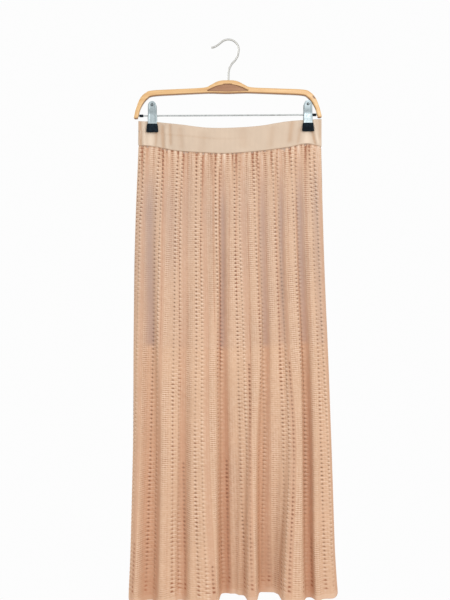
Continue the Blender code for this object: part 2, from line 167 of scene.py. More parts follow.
def rows_of(kind: type, *rows: tuple) -> tuple:
    """Make a table of named rows of one kind out of plain ones."""
    return tuple(kind(*row) for row in rows)


LEVELS = (0.0, 0.22, 0.44, 0.67, 1.0)

FRONT_FOLDS = rows_of(
    Fold,
    ((0.022, 0.037, 0.036, 0.035, 0.039), (2.5, 5, 10, 20, 38), (0.45, 0.36)),
    ((0.065, 0.084, 0.100, 0.105, 0.112), (0, 0, 0, 4, 16), (0.5, 0.4)),
    ((0.120, 0.137, 0.144, 0.165, 0.168), (3, 7, 13, 24, 40), (0.5, 0.55)),
    ((0.163, 0.187, 0.190, 0.195, 0.197), (0.8, 3, 10, 20, 34)),
    ((0.218, 0.237, 0.226, 0.220, 0.216), (3, 6, 10, 16, 28), (0.55, 0.5)),
    ((0.267, 0.284, 0.264, 0.250, 0.245), (0, 4, 7, 9, 20), (0.3, 0.52)),
    ((0.322, 0.342, 0.328, 0.315, 0.312), (3, 8, 15, 26, 44)),
    ((0.365, 0.389, 0.374, 0.360, 0.359), (0.8, 5, 13, 27, 50), (0.4, 0.5)),
    ((0.414, 0.432, 0.410, 0.405, 0.415), (3, 9, 17, 28, 50), (0.62, 0.58)),
    ((0.460, 0.468, 0.456, 0.455, 0.452), (0, 0, 0, 0, 0), (0.2, 0.5)),
    ((0.523, 0.526, 0.523, 0.510, 0.500), (3, 7, 9, 8, 6), (0.6, 0.5)),
    ((0.572, 0.579, 0.579, 0.555, 0.534), (0.8, 4, 10, 14, 14), (0.4, 0.55)),
    ((0.627, 0.629, 0.636, 0.595, 0.578), (3, 8, 15, 26, 46), (0.62, 0.74)),
    ((0.676, 0.676, 0.674, 0.645, 0.632), (0, 1, 1, 3, 0), (0.36, 0.5)),
    ((0.730, 0.732, 0.723, 0.705, 0.683), (3, 7, 8, 12, 0), (0.7, 0.6)),
    ((0.777, 0.774, 0.772, 0.760, 0.707), (0, 0, 3, 18, 6), (0.18, 0.26)),
    ((0.828, 0.832, 0.826, 0.825, 0.755), (3, 8, 16, 30, 50), (0.6, 0.8)),
    ((0.872, 0.874, 0.874, 0.860, 0.853), (0, 0, 1, 4, 16), (0.36, 0.55)),
    ((0.926, 0.926, 0.928, 0.915, 0.894), (3, 7, 12, 20, 32), (0.6, 0.5)),
    ((0.959, 0.958, 0.960, 0.948, 0.933), (0, 2, 4, 12, 24)),
    ((0.980, 0.980, 0.982, 0.976, 0.962), (2, 3, 5, 12, 24)),
)

BAND_EDGES = rows_of(
    BandEdge,
    (-0.1808, -0.1618, -0.2104),
    (-0.1468, -0.1636, -0.2132),
    (-0.1048, -0.1682, -0.2216),
    (-0.0488, -0.1758, -0.2258),
    (-0.0008, -0.1766, -0.2272),
    (0.0632, -0.1724, -0.2224),
    (0.1192, -0.1626, -0.2146),
    (0.1564, -0.1594, -0.2076),
    (0.1866, -0.1578, -0.2132),
)

SIDE_EDGES = rows_of(
    SideEdge,
    (0.0, -0.1808, 0.1866),
    (0.22, -0.1880, 0.1912),
    (0.44, -0.1905, 0.1990),
    (0.67, -0.1915, 0.2070),
    (0.90, -0.1960, 0.2135),
    (1.0, -0.1995, 0.2190),
)

BAR_STATIONS = rows_of(
    BarStation,
    (0.0000, -0.0798, 0.0000, -0.1070),
    (0.0120, -0.0802, 0.0120, -0.1068),
    (0.0220, -0.0828, 0.0220, -0.1064),
    (0.0340, -0.0892, 0.0340, -0.1061),
    (0.0480, -0.0944, 0.0460, -0.1062),
    (0.1000, -0.0970, 0.1000, -0.1085),
    (0.1500, -0.0994, 0.1480, -0.1112),
    (0.1640, -0.1040, 0.1600, -0.1166),
    (0.1750, -0.1150, 0.1690, -0.1270),
    (0.1826, -0.1330, 0.1752, -0.1390),
    (0.1862, -0.1460, 0.1772, -0.1470),
    (0.1878, -0.1535, 0.1790, -0.1535),
)

JAW_STATIONS = rows_of(
    JawStation,
    (0.0278, 0.0096, 0.0014, 0.0),
    (0.0272, 0.0095, 0.0032, 0.0),
    (0.0262, 0.0094, 0.0048, 0.0001),
    (0.0242, 0.0091, 0.0066, 0.0004),
    (0.0206, 0.0086, 0.0080, 0.0004),
    (0.0120, 0.0072, 0.0084, 0.0004),
    (0.0030, 0.0050, 0.0087, 0.0004),
    (-0.0030, 0.0048, 0.0091, 0.0004),
    (-0.0110, 0.0055, 0.0091, 0.0003),
    (-0.0160, 0.0061, 0.0091, 0.0),
    (-0.0290, 0.0061, 0.0091, 0.0),
)

BAND_CREASES = rows_of(
    BandCrease,
    (-0.1760, 3.2, 1.5, 0.0, 1.0, 2.0),
    (-0.1680, 3.0, -0.7, 0.0, 1.0, 1.0),
    (-0.1560, 7.0, -1.0, 0.45, 1.0, 0.0),
    (-0.1440, 3.0, 0.9, 0.4, 1.0, -4.0),
    (-0.1310, 4.5, 1.2, 0.1, 1.0, 3.0),
    (-0.1240, 3.5, -0.5, 0.2, 1.0, 3.0),
    (-0.1160, 3.2, 0.9, 0.0, 0.8, 2.0),
    (-0.0950, 6.0, 0.5, 0.1, 0.9, 6.0),
    (-0.0500, 9.0, 0.35, 0.2, 1.0, -5.0),
    (0.0300, 10.0, 0.4, 0.0, 0.8, 4.0),
    (0.0860, 8.0, 0.5, 0.1, 0.9, -6.0),
    (0.1240, 5.5, 1.0, 0.0, 0.8, -7.0),
    (0.1420, 4.0, 0.7, 0.3, 0.9, -8.0),
    (0.1560, 8.0, -1.1, 0.45, 1.0, 0.0),
    (0.1680, 2.8, 1.5, 0.0, 0.95, 12.0),
    (0.1750, 2.6, -0.8, 0.0, 0.9, 10.0),
    (0.1830, 2.2, 0.8, 0.0, 0.7, 2.0),
)

# Narrow creases pressed into the knit, from the seam down
PLEAT_LINES = rows_of(
    PleatLine,
    (0.145, 1.3, 0.6, 0.00, 0.55),
    (0.192, 1.0, 0.4, 0.02, 0.30),
    (0.240, 1.4, 0.7, 0.05, 0.60),
    (0.277, 1.2, 0.6, 0.00, 0.50),
    (0.352, 1.6, 0.7, 0.00, 0.35),
    (0.418, 1.4, 0.9, 0.00, 0.45),
    (0.448, 1.5, 1.2, 0.02, 0.55),
    (0.497, 1.2, 0.6, 0.05, 0.45),
    (0.540, 1.4, 0.7, 0.00, 0.40),
    (0.597, 1.3, 0.8, 0.10, 0.55),
    (0.655, 1.6, 0.8, 0.00, 0.50),
    (0.698, 1.2, 0.5, 0.02, 0.35),
    (0.748, 1.4, 0.8, 0.00, 0.60),
    (0.806, 1.2, 0.6, 0.05, 0.40),
    (0.862, 1.5, 0.8, 0.10, 0.60),
    (0.905, 1.3, 0.6, 0.00, 0.50),
)

HEM_LOWERING = rows_of(
    HemLowering,
    (-0.195, 9.0),
    (-0.120, 7.0),
    (-0.030, 4.0),
    (0.010, 0.0),
    (0.090, 0.0),
    (0.140, 3.0),
    (0.2165, 2.0),
)

EXTRA_EYELETS = rows_of(
    ExtraEyelets,
    (5, 0.49),
    (7, 0.49),
    (2, 0.70),
    (4, 0.70),
    (0, 0.88),
    (3, 0.92),
    (6, 0.88),
    (8, 0.88),
)


def seam_puckers() -> tuple[Crease, ...]:
    """Lay out the puckers where the wider knit is gathered into the seam, uneven in step and size.

    Returns:
        The puckers from left to right.
    """
    puckers, x = [], -0.172
    while x < 0.18:
        k = len(puckers)
        half_width = round(2.4 + 0.8 * math.sin(2.3 * k + 0.4), 1)
        depth = round(1.9 + 0.7 * math.sin(1.7 * k + 1.1), 1)
        reach = round(0.034 + 0.018 * math.sin(3.1 * k + 0.9), 3)
        puckers.append(Crease(round(x, 4), half_width, depth, reach))
        x += 0.0098 + 0.0030 * math.sin(1.3 * k)
    return tuple(puckers)


SEAM_PUCKERS = seam_puckers()


def smooth(value: np.ndarray | float) -> np.ndarray:
    """Rise evenly from 0 below 0 to 1 above 1.

    Args:
        value: Numbers to turn into a soft step.

    Returns:
        Numbers from 0 to 1.
    """
    value = np.clip(value, 0.0, 1.0)
    return value * value * (3 - 2 * value)


def blend(start: np.ndarray | float, end: np.ndarray | float, part: np.ndarray | float) -> np.ndarray:
    """Return the value that lies the given part of the way from start to end."""
    return start + (end - start) * part


def bell(at: np.ndarray | float, middle: np.ndarray | float, half_width: float) -> np.ndarray:
    """Return a soft bump that is 1 in its middle and a third of that at its half width."""
    return np.exp(-(((at - middle) / half_width) ** 2))


def squared(swing: np.ndarray, power: float) -> np.ndarray:
    """Push a sine or cosine towards its ends, which turns a circle into a rounded oblong."""
    return np.sign(swing) * abs(swing) ** power


def full_turn(count: int) -> np.ndarray:
    """Return angles at even steps round a circle."""
    return np.linspace(0.0, 2 * math.pi, count, endpoint=False)


def spots(*axes: np.ndarray | float) -> np.ndarray:
    """Stack the values along each axis into points. A single value counts for all of them."""
    return np.stack(np.broadcast_arrays(*axes), axis=-1)


def through(places: list[float], values: list[float], at: np.ndarray | float) -> np.ndarray:
    """Follow a smooth curve through values given at rising places, held flat past both ends.

    Args:
        places: Where the values are given.
        values: The value at each place.
        at: Where the curve is wanted.

    Returns:
        The curve at those places.
    """
    place, value = np.asarray(places, float), np.asarray(values, float)
    at = np.clip(at, place[0], place[-1])
    slope = np.gradient(value)
    slope[0] = (value[1] - value[0]) / (place[1] - place[0])
    slope[-1] = (value[-1] - value[-2]) / (place[-1] - place[-2])
    slope[1:-1] = (value[2:] - value[:-2]) / (place[2:] - place[:-2])
    i = np.clip(np.searchsorted(place, at, side="right") - 1, 0, len(place) - 2)
    span = place[i + 1] - place[i]
    t = (at - place[i]) / span
    start = (2 * t**3 - 3 * t**2 + 1) * value[i] + (t**3 - 2 * t**2 + t) * span * slope[i]
    return start + (3 * t**2 - 2 * t**3) * value[i + 1] + (t**3 - t**2) * span * slope[i + 1]


def column(table: tuple, name: str) -> list:
    """Return one named column of a table of rows."""
    return [getattr(row, name) for row in table]


def waver(places: np.ndarray, rows: np.ndarray, seed: float) -> np.ndarray:
    """Wander slowly between about -1 and 1, the same way on each run.

    Args:
        places: Places across, in metres.
        rows: Places down, in metres.
        seed: Number that sets this wander apart from others.

    Returns:
        One value for each place.
    """
    wander = np.sin(places * 31 + rows * 9.1 + seed) + np.sin(places * 57 - rows * 5.3 + 2.1 * seed)
    return (wander + np.sin(rows * 23 + places * 13 + 4.7 * seed)) / 3


@dataclass
class Line:
    """A row of cloth seen from above: places across and distances out from the middle plane."""

    x: np.ndarray
    out: np.ndarray

    def spread(self, count: int) -> "Line":
        """Place points at even steps along the cloth.

        Args:
            count: Number of points.

        Returns:
            The same line with that many points.
        """
        along = np.concatenate(([0.0], np.cumsum(np.hypot(np.diff(self.x), np.diff(self.out)))))
        even = np.linspace(0.0, along[-1], count)
        return Line(np.interp(even, along, self.x), np.interp(even, along, self.out))

    def moved(self, outward: np.ndarray | float, aside: np.ndarray | float = 0.0) -> "Line":
        """Move the points square to the line and along it.

        Args:
            outward: How far each point goes out.
            aside: How far each point goes along the line, to the right.

        Returns:
            The moved line.
        """
        step_x, step_out = np.gradient(self.x), np.gradient(self.out)
        length = np.hypot(step_x, step_out)
        x = self.x + (aside * step_x - outward * step_out) / length
        out = self.out + (aside * step_out + outward * step_x) / length
        return Line(x, np.maximum(out, 0.0))


@dataclass
class Drape:
    """Shape of one half of the hanging tube of cloth, from the waist down to the hem."""

    facing: Facing
    folds: tuple[Fold, ...]
    bow: float
    pinched_depth: float = KNIT_WALL + GAP / 2
    side_bulge: float = 1.4 * MM
    seam_out: float = 5 * MM
    bow_at_seam: float = 0.7
    pinch_reach: float = 20 * MM
    pinch_fade: float = 65 * MM
    pinch_fade_at_side: float = 9 * MM
    clipped_part: float = 0.47
    hang_out: float = 10 * MM
    hang_fade: float = 0.2
    gather_fade: float = 0.03
    hem_out: float = 14 * MM
    hem_drop: float = 0.15
    sharpness: tuple[float, float] = (1.15, 1.5)
    side_steps: int = 12
    fold_steps: int = 16

    def edge(self, x: np.ndarray | float, name: str) -> np.ndarray:
        """Height of the waistband's top or of its seam at places across."""
        return through(column(BAND_EDGES, "x"), column(BAND_EDGES, name), x)

    def seam_z(self) -> float:
        """Height of the waist seam in the middle."""
        return float(self.edge(0.0, "seam"))

    def side(self, name: str, part: float) -> float:
        """Place of the left or right side at a part of the panel's length."""
        return float(through(column(SIDE_EDGES, "level"), column(SIDE_EDGES, name), part))

    def pinch(self, x: np.ndarray) -> tuple[np.ndarray, np.ndarray]:
        """Tell how free of the clips the cloth is.

        Args:
            x: Places across.

        Returns:
            0 under a clip to 1 well away from both, and whether each place is between the clips.
        """
        near = np.minimum(abs(x - CLIP_X[0]), abs(x - CLIP_X[1]))
        between = (x > CLIP_X[0]) & (x < CLIP_X[1])
        fade = np.where(between, self.pinch_fade, self.pinch_fade_at_side)
        return smooth((near - self.pinch_reach) / fade), between

    def seam_depth(self, x: np.ndarray) -> np.ndarray:
        """Half depth of the tube at the waist seam."""
        free, between = self.pinch(x)
        return self.seam_out + np.where(between, free * self.bow * self.bow_at_seam, 0.0)

    def band_depth(self, x: np.ndarray, part: float) -> np.ndarray:
        """Half depth of the waistband, part of the way down from its top edge."""
        free, between = self.pinch(x)
        pressed = self.pinched_depth + free * np.where(between, self.bow, self.side_bulge)
        lower = smooth((part - self.clipped_part) / (1 - self.clipped_part))
        return blend(pressed, self.seam_depth(x), lower)

    def core_depth(self, x: np.ndarray, part: float) -> np.ndarray:
        """Half depth of the skirt at the floor of its valleys."""
        hanging = blend(self.hang_out, self.hem_out, part)
        return blend(self.seam_depth(x), hanging, smooth(part / self.hang_fade))

    def section(self, left: float, right: float, knot: Line, part: float | None = None) -> Line:
        """Row of cloth from side seam to side seam, through knots, with round sides.

        Args:
            left: Place of the left side.
            right: Place of the right side.
            knot: The ridges and valleys.
            part: Part of the length, where the ridges are rolls that turn as their folds say.

        Returns:
            The row as a fine line.
        """
        turn = np.linspace(0.0, math.pi / 2, self.side_steps, endpoint=False)
        share = np.arange(self.fold_steps) / self.fold_steps
        x = knot.x[:-1, None] + np.diff(knot.x)[:, None] * share
        eased = np.tile(share, (len(knot.x) - 1, 1))
        if part is not None:
            turn_at = np.array([blend(*fold.turn, smooth(part)) for fold in self.folds[:-1]])[:, None]
            warped = share ** (np.log(0.5) / np.log(turn_at))
            power = blend(*self.sharpness, part)
            eased = warped**power / (warped**power + (1 - warped) ** power)
        out = knot.out[:-1, None] + np.diff(knot.out)[:, None] * (0.5 - 0.5 * np.cos(math.pi * eased))
        back = np.linspace(math.pi / 2, 0.0, self.side_steps + 1)
        return Line(
            np.concatenate((
                blend(knot.x[0], left, np.cos(turn)),
                x.ravel(),
                blend(knot.x[-1], right, np.cos(back)),
            )),
            np.concatenate((knot.out[0] * np.sin(turn), out.ravel(), knot.out[-1] * np.sin(back))),
        )

    def skirt_line(self, part: float) -> Line:
        """Row of the skirt, with its folds, at a part of its length."""
        left, right = self.side("left", part), self.side("right", part)
        across = np.array([float(through(LEVELS, fold.across, part)) for fold in self.folds])
        raised = np.array([float(through(LEVELS, fold.out, part)) for fold in self.folds])
        x = blend(left, right, across)
        out = self.core_depth(x, part) + np.maximum(raised, 0.0) * MM * smooth(part / self.gather_fade)
        return self.section(left, right, Line(x, out), part)

    def band_line(self, part: float) -> Line:
        """Row of the waistband at a part of its height."""
        edges = SIDE_EDGES[0]
        x = np.array([blend(edges.left, edges.right, fold.across[0]) for fold in self.folds])
        return self.section(edges.left, edges.right, Line(x, self.band_depth(x, part)))

    def hem_height(self, line: Line) -> np.ndarray:
        """Height of the hem along its row: forward folds hang lower, and so does the left side."""
        low = through(column(HEM_LOWERING, "x"), column(HEM_LOWERING, "lower"), line.x)
        return HEM_Z - self.hem_drop * (line.out - self.hem_out) - low * MM

    def points(self, line: Line, heights: np.ndarray) -> np.ndarray:
        """Points in space of a row at given heights."""
        return spots(line.x, self.facing.value * line.out, heights)


def turned_round(folds: tuple[Fold, ...]) -> tuple[Fold, ...]:
    """Fold the back as the front seen from behind, with depths of its own.

    Args:
        folds: Folds of the front.

    Returns:
        Folds of the back.
    """
    back = []
    for k, fold in enumerate(reversed(folds)):
        depth = 0.86 + 0.14 * math.sin(1.9 * k + 0.6)
        out = tuple(value * depth for value in fold.out)
        turn = tuple(1 - share for share in folds[max(0, len(folds) - 2 - k)].turn)
        back.append(Fold(tuple(1 - share for share in fold.across), out, turn))
    return tuple(back)


def linear(colour: str) -> tuple[float, float, float, float]:
    """Turn an sRGB hex colour into the linear values that a shader takes.

    Args:
        colour: Six hex digits after a #.

    Returns:
        Linear red, green and blue with full opacity.
    """
    channels = []
    for k in (1, 3, 5):
        value = int(colour[k : k + 2], 16) / 255
        channels.append(value / 12.92 if value <= 0.04045 else ((value + 0.055) / 1.055) ** 2.4)
    return (*channels, 1.0)


def join(node: Node, links: dict) -> None:
    """Join inputs of a node to what feeds them.

    Args:
        node: The node that takes.
        links: For each input, by name or number, an output or a node that gives its first output.
    """
    for name, source in links.items():
        output = source.outputs[0] if isinstance(source, Node) else source
        node.id_data.links.new(output, node.inputs[name])


def add_node(tree: NodeTree, kind: str, settings: dict | None = None, links: dict | None = None) -> Node:
    """Add one node with its settings and links.

    Args:
        tree: Node tree of the material.
        kind: Type of the node, without the word that all of them start with.
        settings: Properties by name, or default values of inputs by name or number.
        links: What joins to each input, as join takes it.

    Returns:
        The new node.
    """
    node = tree.nodes.new("ShaderNode" + kind)
    for name, value in (settings or {}).items():
        if isinstance(name, str) and hasattr(node, name):
            setattr(node, name, value)
        else:
            node.inputs[name].default_value = value
    join(node, links or {})
    return node


def set_stops(node: Node, stops: tuple[tuple[float, str], ...]) -> None:
    """Give a colour ramp its stops.

    Args:
        node: The colour ramp.
        stops: Place and sRGB colour of each stop.
    """
    elements = node.color_ramp.elements
    while len(elements) < len(stops):
        elements.new(1.0)
    for element, (position, colour) in zip(elements, stops):
        element.position = position
        element.color = linear(colour)


# A started material, its node tree, its shader and the socket of a point's place
Begun = tuple[Material, NodeTree, Node, NodeSocket]


@dataclass(frozen=True)
class Finish:
    """What all finishes share: a name, the roughness of the bare surface and its colour."""

    name: str
    colour: str
    roughness: float

    def begin(self, **sockets: object) -> Begun:
        """Start a material.

        Args:
            sockets: Values of the shader's further sockets, with _ for each space in their names.

        Returns:
            The material, its node tree, its shader and the socket of a point's place on the piece.
        """
        material = bpy.data.materials.new(self.name)
        material.use_nodes = True
        tree = material.node_tree
        shader = tree.nodes["Principled BSDF"]
        sockets = {"Base_Color": linear(self.colour), "Roughness": self.roughness, **sockets}
        for name, value in sockets.items():
            shader.inputs[name.replace("_", " ")].default_value = value
        material.diffuse_color = linear(self.colour)
        return material, tree, shader, add_node(tree, "TexCoord").outputs["Object"]

    def clouded(
        self,
        tree: NodeTree,
        clouds: Node,
        tones: tuple[float, float],
        base: dict | None = None,
    ) -> Node:
        """Make a colour paler and darker in soft clouds, as dye and handling leave it.

        Args:
            tree: Node tree of the material.
            clouds: Noise that gives the clouds.
            tones: Brightness in the darkest and in the palest clouds.
            base: Link to the colour, or nothing for the finish's own.

        Returns:
            The clouded colour.
        """
        even = add_node(tree, "MapRange", {1: 0.3, 2: 0.7, 3: tones[0], 4: tones[1]}, {0: clouds})
        links = {"Value": even, **(base or {})}
        return add_node(tree, "HueSaturation", {"Color": linear(self.colour)}, links)


@dataclass(frozen=True)
class KnittedYarn(Finish):
    """Soft cotton and acrylic yarn, knitted by machine.

    The eye sees a matt, slightly hairy surface; the light on raised stitches and the shade in the pits
    between are painted into its colour.
    """

    # Painted highlight on raised stitches and ribs
    light: str = "#e9d7c3"
    # Painted shade in pits, round eyelets and in the grooves between ribs
    pit_shade: str = "#834f35"
    slip_shade: str = "#9c8a84"
    smooth_strip: str = "#c5a085"
    # Painted shade in the waistband's creases
    band_crease_shade: str = "#b6967b"
    # Painted shade, warmer and darker, deep in the folds
    fold_shade: str = "#ae6a44"
    loose_fibre: str = "#e2a878"
    stitch_bump: float = 0.5 * MM
    wales_to_a_repeat: float = 20.0
    strip_wales: tuple[float, float, float] = (1.0, 11.0, 15.4)
    strip_edge: float = 0.02
    dye_tones: tuple[float, float] = (0.965, 1.035)

    def knit(self, *names: str) -> tuple:
        """Start a knit's material.

        Args:
            names: The piece's maps.

        Returns:
            The material, its tree, its shader, the place of a point, and the sockets of each map's values.
        """
        begun = self.begin(
            Sheen_Weight=0.2,
            Sheen_Roughness=0.5,
            Sheen_Tint=linear(self.loose_fibre),
            Specular_IOR_Level=0.25,
        )
        tree = begun[1]
        maps = [add_node(tree, "UVMap", {"uv_map": name}) for name in names]
        return *begun, *(add_node(tree, "SeparateXYZ", links={0: values}).outputs for values in maps)

    def openwork(self) -> Material:
        """Dress the openwork panels from their stitch, relief and fold maps.

        Returns:
            The material.
        """
        material, tree, shader, place, stitch, relief, fold = self.knit("Stitches", "Relief", "Fold")

        # Strips of the repeat: ladder, eyelet pair, smooth and ladder again
        turns = add_node(tree, "Math", {"operation": "DIVIDE", 1: self.wales_to_a_repeat}, {0: stitch[0]})
        repeat = add_node(tree, "Math", {"operation": "FRACT"}, {0: turns})
        strips = add_node(tree, "ValToRGB", links={0: repeat})
        ladder, pair, smooth_end = (wales / self.wales_to_a_repeat for wales in self.strip_wales)
        stops = (
            (ladder, self.colour),
            (pair, self.colour),
            (pair + self.strip_edge, self.smooth_strip),
            (smooth_end - self.strip_edge, self.smooth_strip),
            (smooth_end, self.colour),
        )
        set_stops(strips, stops)

        # Painted light and shade: raised stitches get a painted highlight and pits a painted shade, more
        # than the thin mesh alone shows. The slip greys the openwork where it lies behind it, and folds get
        # a warmer, darker painted shade in their depth, in place of light bouncing between the walls
        lit = add_node(tree, "MapRange", {1: 0.52, 2: 1.0, 3: 0.0, 4: 0.9}, {0: relief[0]})
        soft_pit_shade = {"interpolation_type": "SMOOTHSTEP", 1: 0.49, 2: 0.06, 3: 0.0, 4: 0.9}
        pit_shade_share = add_node(tree, "MapRange", soft_pit_shade, {0: relief[0]})
        layers = (
            (lit, self.light),
            (pit_shade_share, self.pit_shade),
            (relief[1], self.slip_shade),
            (fold[0], self.fold_shade),
        )
        tone = strips
        for share, colour in layers:
            mixed = {"data_type": "RGBA", 7: linear(colour)}
            tone = add_node(tree, "Mix", mixed, {0: share, 6: tone}).outputs[2]
        self.finish_knit(tree, shader, place, stitch, 14.0, tone)
        return material

    def rib(self) -> Material:
        """Dress the ribbed waistband from its stitch map and its relief map.

        Returns:
            The material.
        """
        material, tree, shader, place, stitch, relief = self.knit("Stitches", "Relief")
        tones = add_node(tree, "ValToRGB", links={0: relief[0]})
        set_stops(tones, ((0.0, self.pit_shade), (0.35, self.band_crease_shade), (0.6, self.colour), (1.0, self.light)))
        self.finish_knit(tree, shader, place, stitch, 22.0, tones.outputs[0])
        return material

    def finish_knit(
        self,
        tree: NodeTree,
        shader: Node,
        place: NodeSocket,
        stitch: NodeOutputs,
        clouds: float,
        tone: NodeSocket,
    ) -> None:
        """Cloud the dye, and raise the V of each knit stitch and the fuzz on the yarn.

        Args:
            tree: Node tree of the material.
            shader: The shader that takes the colour and the bump.
            place: Socket of a point's place.
            stitch: Sockets that count wales and courses.
            clouds: How many clouds there are to a metre.
            tone: The colour before it is clouded.
        """
        mottle = add_node(tree, "TexNoise", {"Scale": clouds, "Detail": 4.0, "Roughness": 0.6}, {0: place})
        leg = add_node(tree, "Math", {"operation": "PINGPONG", 1: 0.5}, {0: stitch[0]})
        slant = add_node(tree, "Math", {"operation": "ADD"}, {0: leg, 1: stitch[1]})
        turn = add_node(tree, "Math", {"operation": "MULTIPLY", 1: 2 * math.pi}, {0: slant})
        loop = add_node(tree, "Math", {"operation": "SINE"}, {0: turn})
        fuzz = add_node(tree, "TexNoise", {"Scale": 1400.0, "Detail": 3.0, "Roughness": 0.7}, {0: place})
        height = add_node(tree, "Math", {"operation": "MULTIPLY_ADD", 1: 0.5}, {0: loop, 2: fuzz})
        bump = add_node(tree, "Bump", {"Strength": 0.5, "Distance": self.stitch_bump}, {"Height": height})
        dyed = self.clouded(tree, mottle, self.dye_tones, {"Color": tone})
        join(shader, {"Base Color": dyed, "Normal": bump})


@dataclass(frozen=True)
class SlipCloth(Finish):
    """Thin polyester lining, woven plain: a smooth cloth with a faint satin gloss."""

    thread: float = 0.5 * MM

    def material(self) -> Material:
        """Dress the lining with its threads, drawn coarser than real ones so that they show.

        Returns:
            The material.
        """
        material, tree, shader, place = self.begin(Sheen_Weight=0.15)
        thread = {"Scale": math.pi / self.thread / 20, "Distortion": 0.4}
        warp, weft = (
            add_node(tree, "TexWave", {"bands_direction": direction, **thread}, {0: place}).outputs[1]
            for direction in ("X", "Z")
        )
        weave = add_node(tree, "Math", {"operation": "ADD"}, {0: warp, 1: weft})
        bump = add_node(tree, "Bump", {"Strength": 0.25, "Distance": 0.2 * MM}, {"Height": weave})
        clouds = add_node(tree, "TexNoise", {"Scale": 9.0, "Detail": 3.0}, {0: place})
        join(shader, {"Base Color": self.clouded(tree, clouds, (0.95, 1.05)), "Normal": bump})
        return material


@dataclass(frozen=True)
class BentBeech(Finish):
    """Steamed and bent beech under clear satin lacquer: fine long grain with short darker flecks."""

    dark_grain: str = "#ba8b53"
    pale_grain: str = "#d5b17c"
    fleck: str = "#a97a49"
    # Painted shade on faces that point down
    underside_shade: str = "#74451f"
    knot: str = "#5b3016"
    knot_place: tuple[float, float, float] = (0.1704, -0.006, -0.1144)
    knot_turn: float = math.radians(50)
    knot_size: tuple[float, float, float] = (5 * MM, 12 * MM, 1.8 * MM)
    grain_scale: tuple[float, float, float] = (9.0, 160.0, 160.0)
    fleck_scale: tuple[float, float, float] = (220.0, 900.0, 900.0)

    def material(self) -> Material:
        """Dress the wood with grain along its length, flecks, a painted shade on its downward faces and one
        small dark mark.

        Returns:
            The material.
        """
        material, tree, shader, place = self.begin(Coat_Weight=0.35, Coat_Roughness=0.25)
        scales = (self.grain_scale, self.fleck_scale)
        long, short = (add_node(tree, "Mapping", {"Scale": scale}, {0: place}) for scale in scales)
        fine = {"Scale": 1.0, "Detail": 6.0, "Roughness": 0.65, "Distortion": 0.6}
        grain = add_node(tree, "TexNoise", fine, {0: long})
        tones = add_node(tree, "ValToRGB", links={0: grain})
        set_stops(tones, ((0.30, self.dark_grain), (0.50, self.colour), (0.72, self.pale_grain)))
        speck = add_node(tree, "TexNoise", {"Scale": 1.0, "Detail": 2.0}, {0: short})
        surface = add_node(tree, "NewGeometry")
        facing = add_node(tree, "SeparateXYZ", links={0: surface.outputs["Normal"]})
        mark = {"vector_type": "TEXTURE", "Location": self.knot_place, "Scale": self.knot_size}
        around = add_node(tree, "Mapping", {**mark, "Rotation": (0.0, self.knot_turn, 0.0)}, {0: place})
        distance = add_node(tree, "VectorMath", {"operation": "LENGTH"}, {0: around})
        # Flecks and the knot are the wood's own; the darker tone on faces that point down is painted shade
        layers = (
            (self.fleck, speck.outputs[0], 0.62, 0.74, 0.55),
            (self.underside_shade, facing.outputs[2], -0.12, -0.6, 0.85),
            (self.knot, distance.outputs["Value"], 1.1, 0.5, 0.9),
        )
        tone = tones.outputs[0]
        for colour, source, start, end, most in layers:
            share = add_node(tree, "MapRange", {1: start, 2: end, 3: 0.0, 4: most}, {0: source})
            mixed = {"data_type": "RGBA", 7: linear(colour)}
            tone = add_node(tree, "Mix", mixed, {0: share, 6: tone}).outputs[2]
        bump = add_node(tree, "Bump", {"Strength": 0.15, "Distance": 0.2 * MM}, {"Height": grain})
        join(shader, {"Base Color": tone, "Normal": bump})
        return material


@dataclass(frozen=True)
class PlatedSteel(Finish):
    """Drawn or pressed steel with a thin plating: bright, with soft cloudy patches and fine draw lines."""

    cloud: float = 0.12
    line_scale: float = 260.0

    def material(self) -> Material:
        """Dress the metal with a roughness that changes in clouds and with fine lines.

        Returns:
            The material.
        """
        material, tree, shader, place = self.begin(Metallic=1.0)
        clouds = add_node(tree, "TexNoise", {"Scale": 320.0, "Detail": 4.0}, {0: place})
        dull, bright = self.roughness - self.cloud, self.roughness + self.cloud
        rough = add_node(tree, "MapRange", {1: 0.3, 2: 0.7, 3: dull, 4: bright}, {0: clouds})
        drawn = (self.line_scale * 6, self.line_scale * 6, self.line_scale)
        stretched = add_node(tree, "Mapping", {"Scale": drawn}, {0: place})
        lines = add_node(tree, "TexNoise", {"Scale": 1.0, "Detail": 3.0}, {0: stretched})
        bump = add_node(tree, "Bump", {"Strength": 0.06, "Distance": 0.05 * MM}, {"Height": lines})
        tone = self.clouded(tree, clouds, (0.88, 1.06))
        join(shader, {"Roughness": rough, "Base Color": tone, "Normal": bump})
        return material


@dataclass(frozen=True)
class MouldedRubber(Finish):
    """Black rubber from a mould: nearly matt, with a fine grained skin and paler rubbed patches."""

    rubbed: str = "#15222b"
    grain: float = 0.4 * MM

    def material(self) -> Material:
        """Dress the rubber with the mould's grain and with rubbed patches.

        Returns:
            The material.
        """
        material, tree, shader, place = self.begin(Specular_IOR_Level=0.12)
        wear = add_node(tree, "TexNoise", {"Scale": 180.0, "Detail": 4.0}, {0: place})
        tones = add_node(tree, "ValToRGB", links={0: wear})
        set_stops(tones, ((0.45, self.colour), (0.75, self.rubbed)))
        skin = add_node(tree, "TexVoronoi", {"Scale": 1 / self.grain}, {0: place})
        bump = add_node(tree, "Bump", {"Strength": 0.3, "Distance": 0.1 * MM}, {"Height": skin})
        join(shader, {"Base Color": tones, "Normal": bump})
        return material


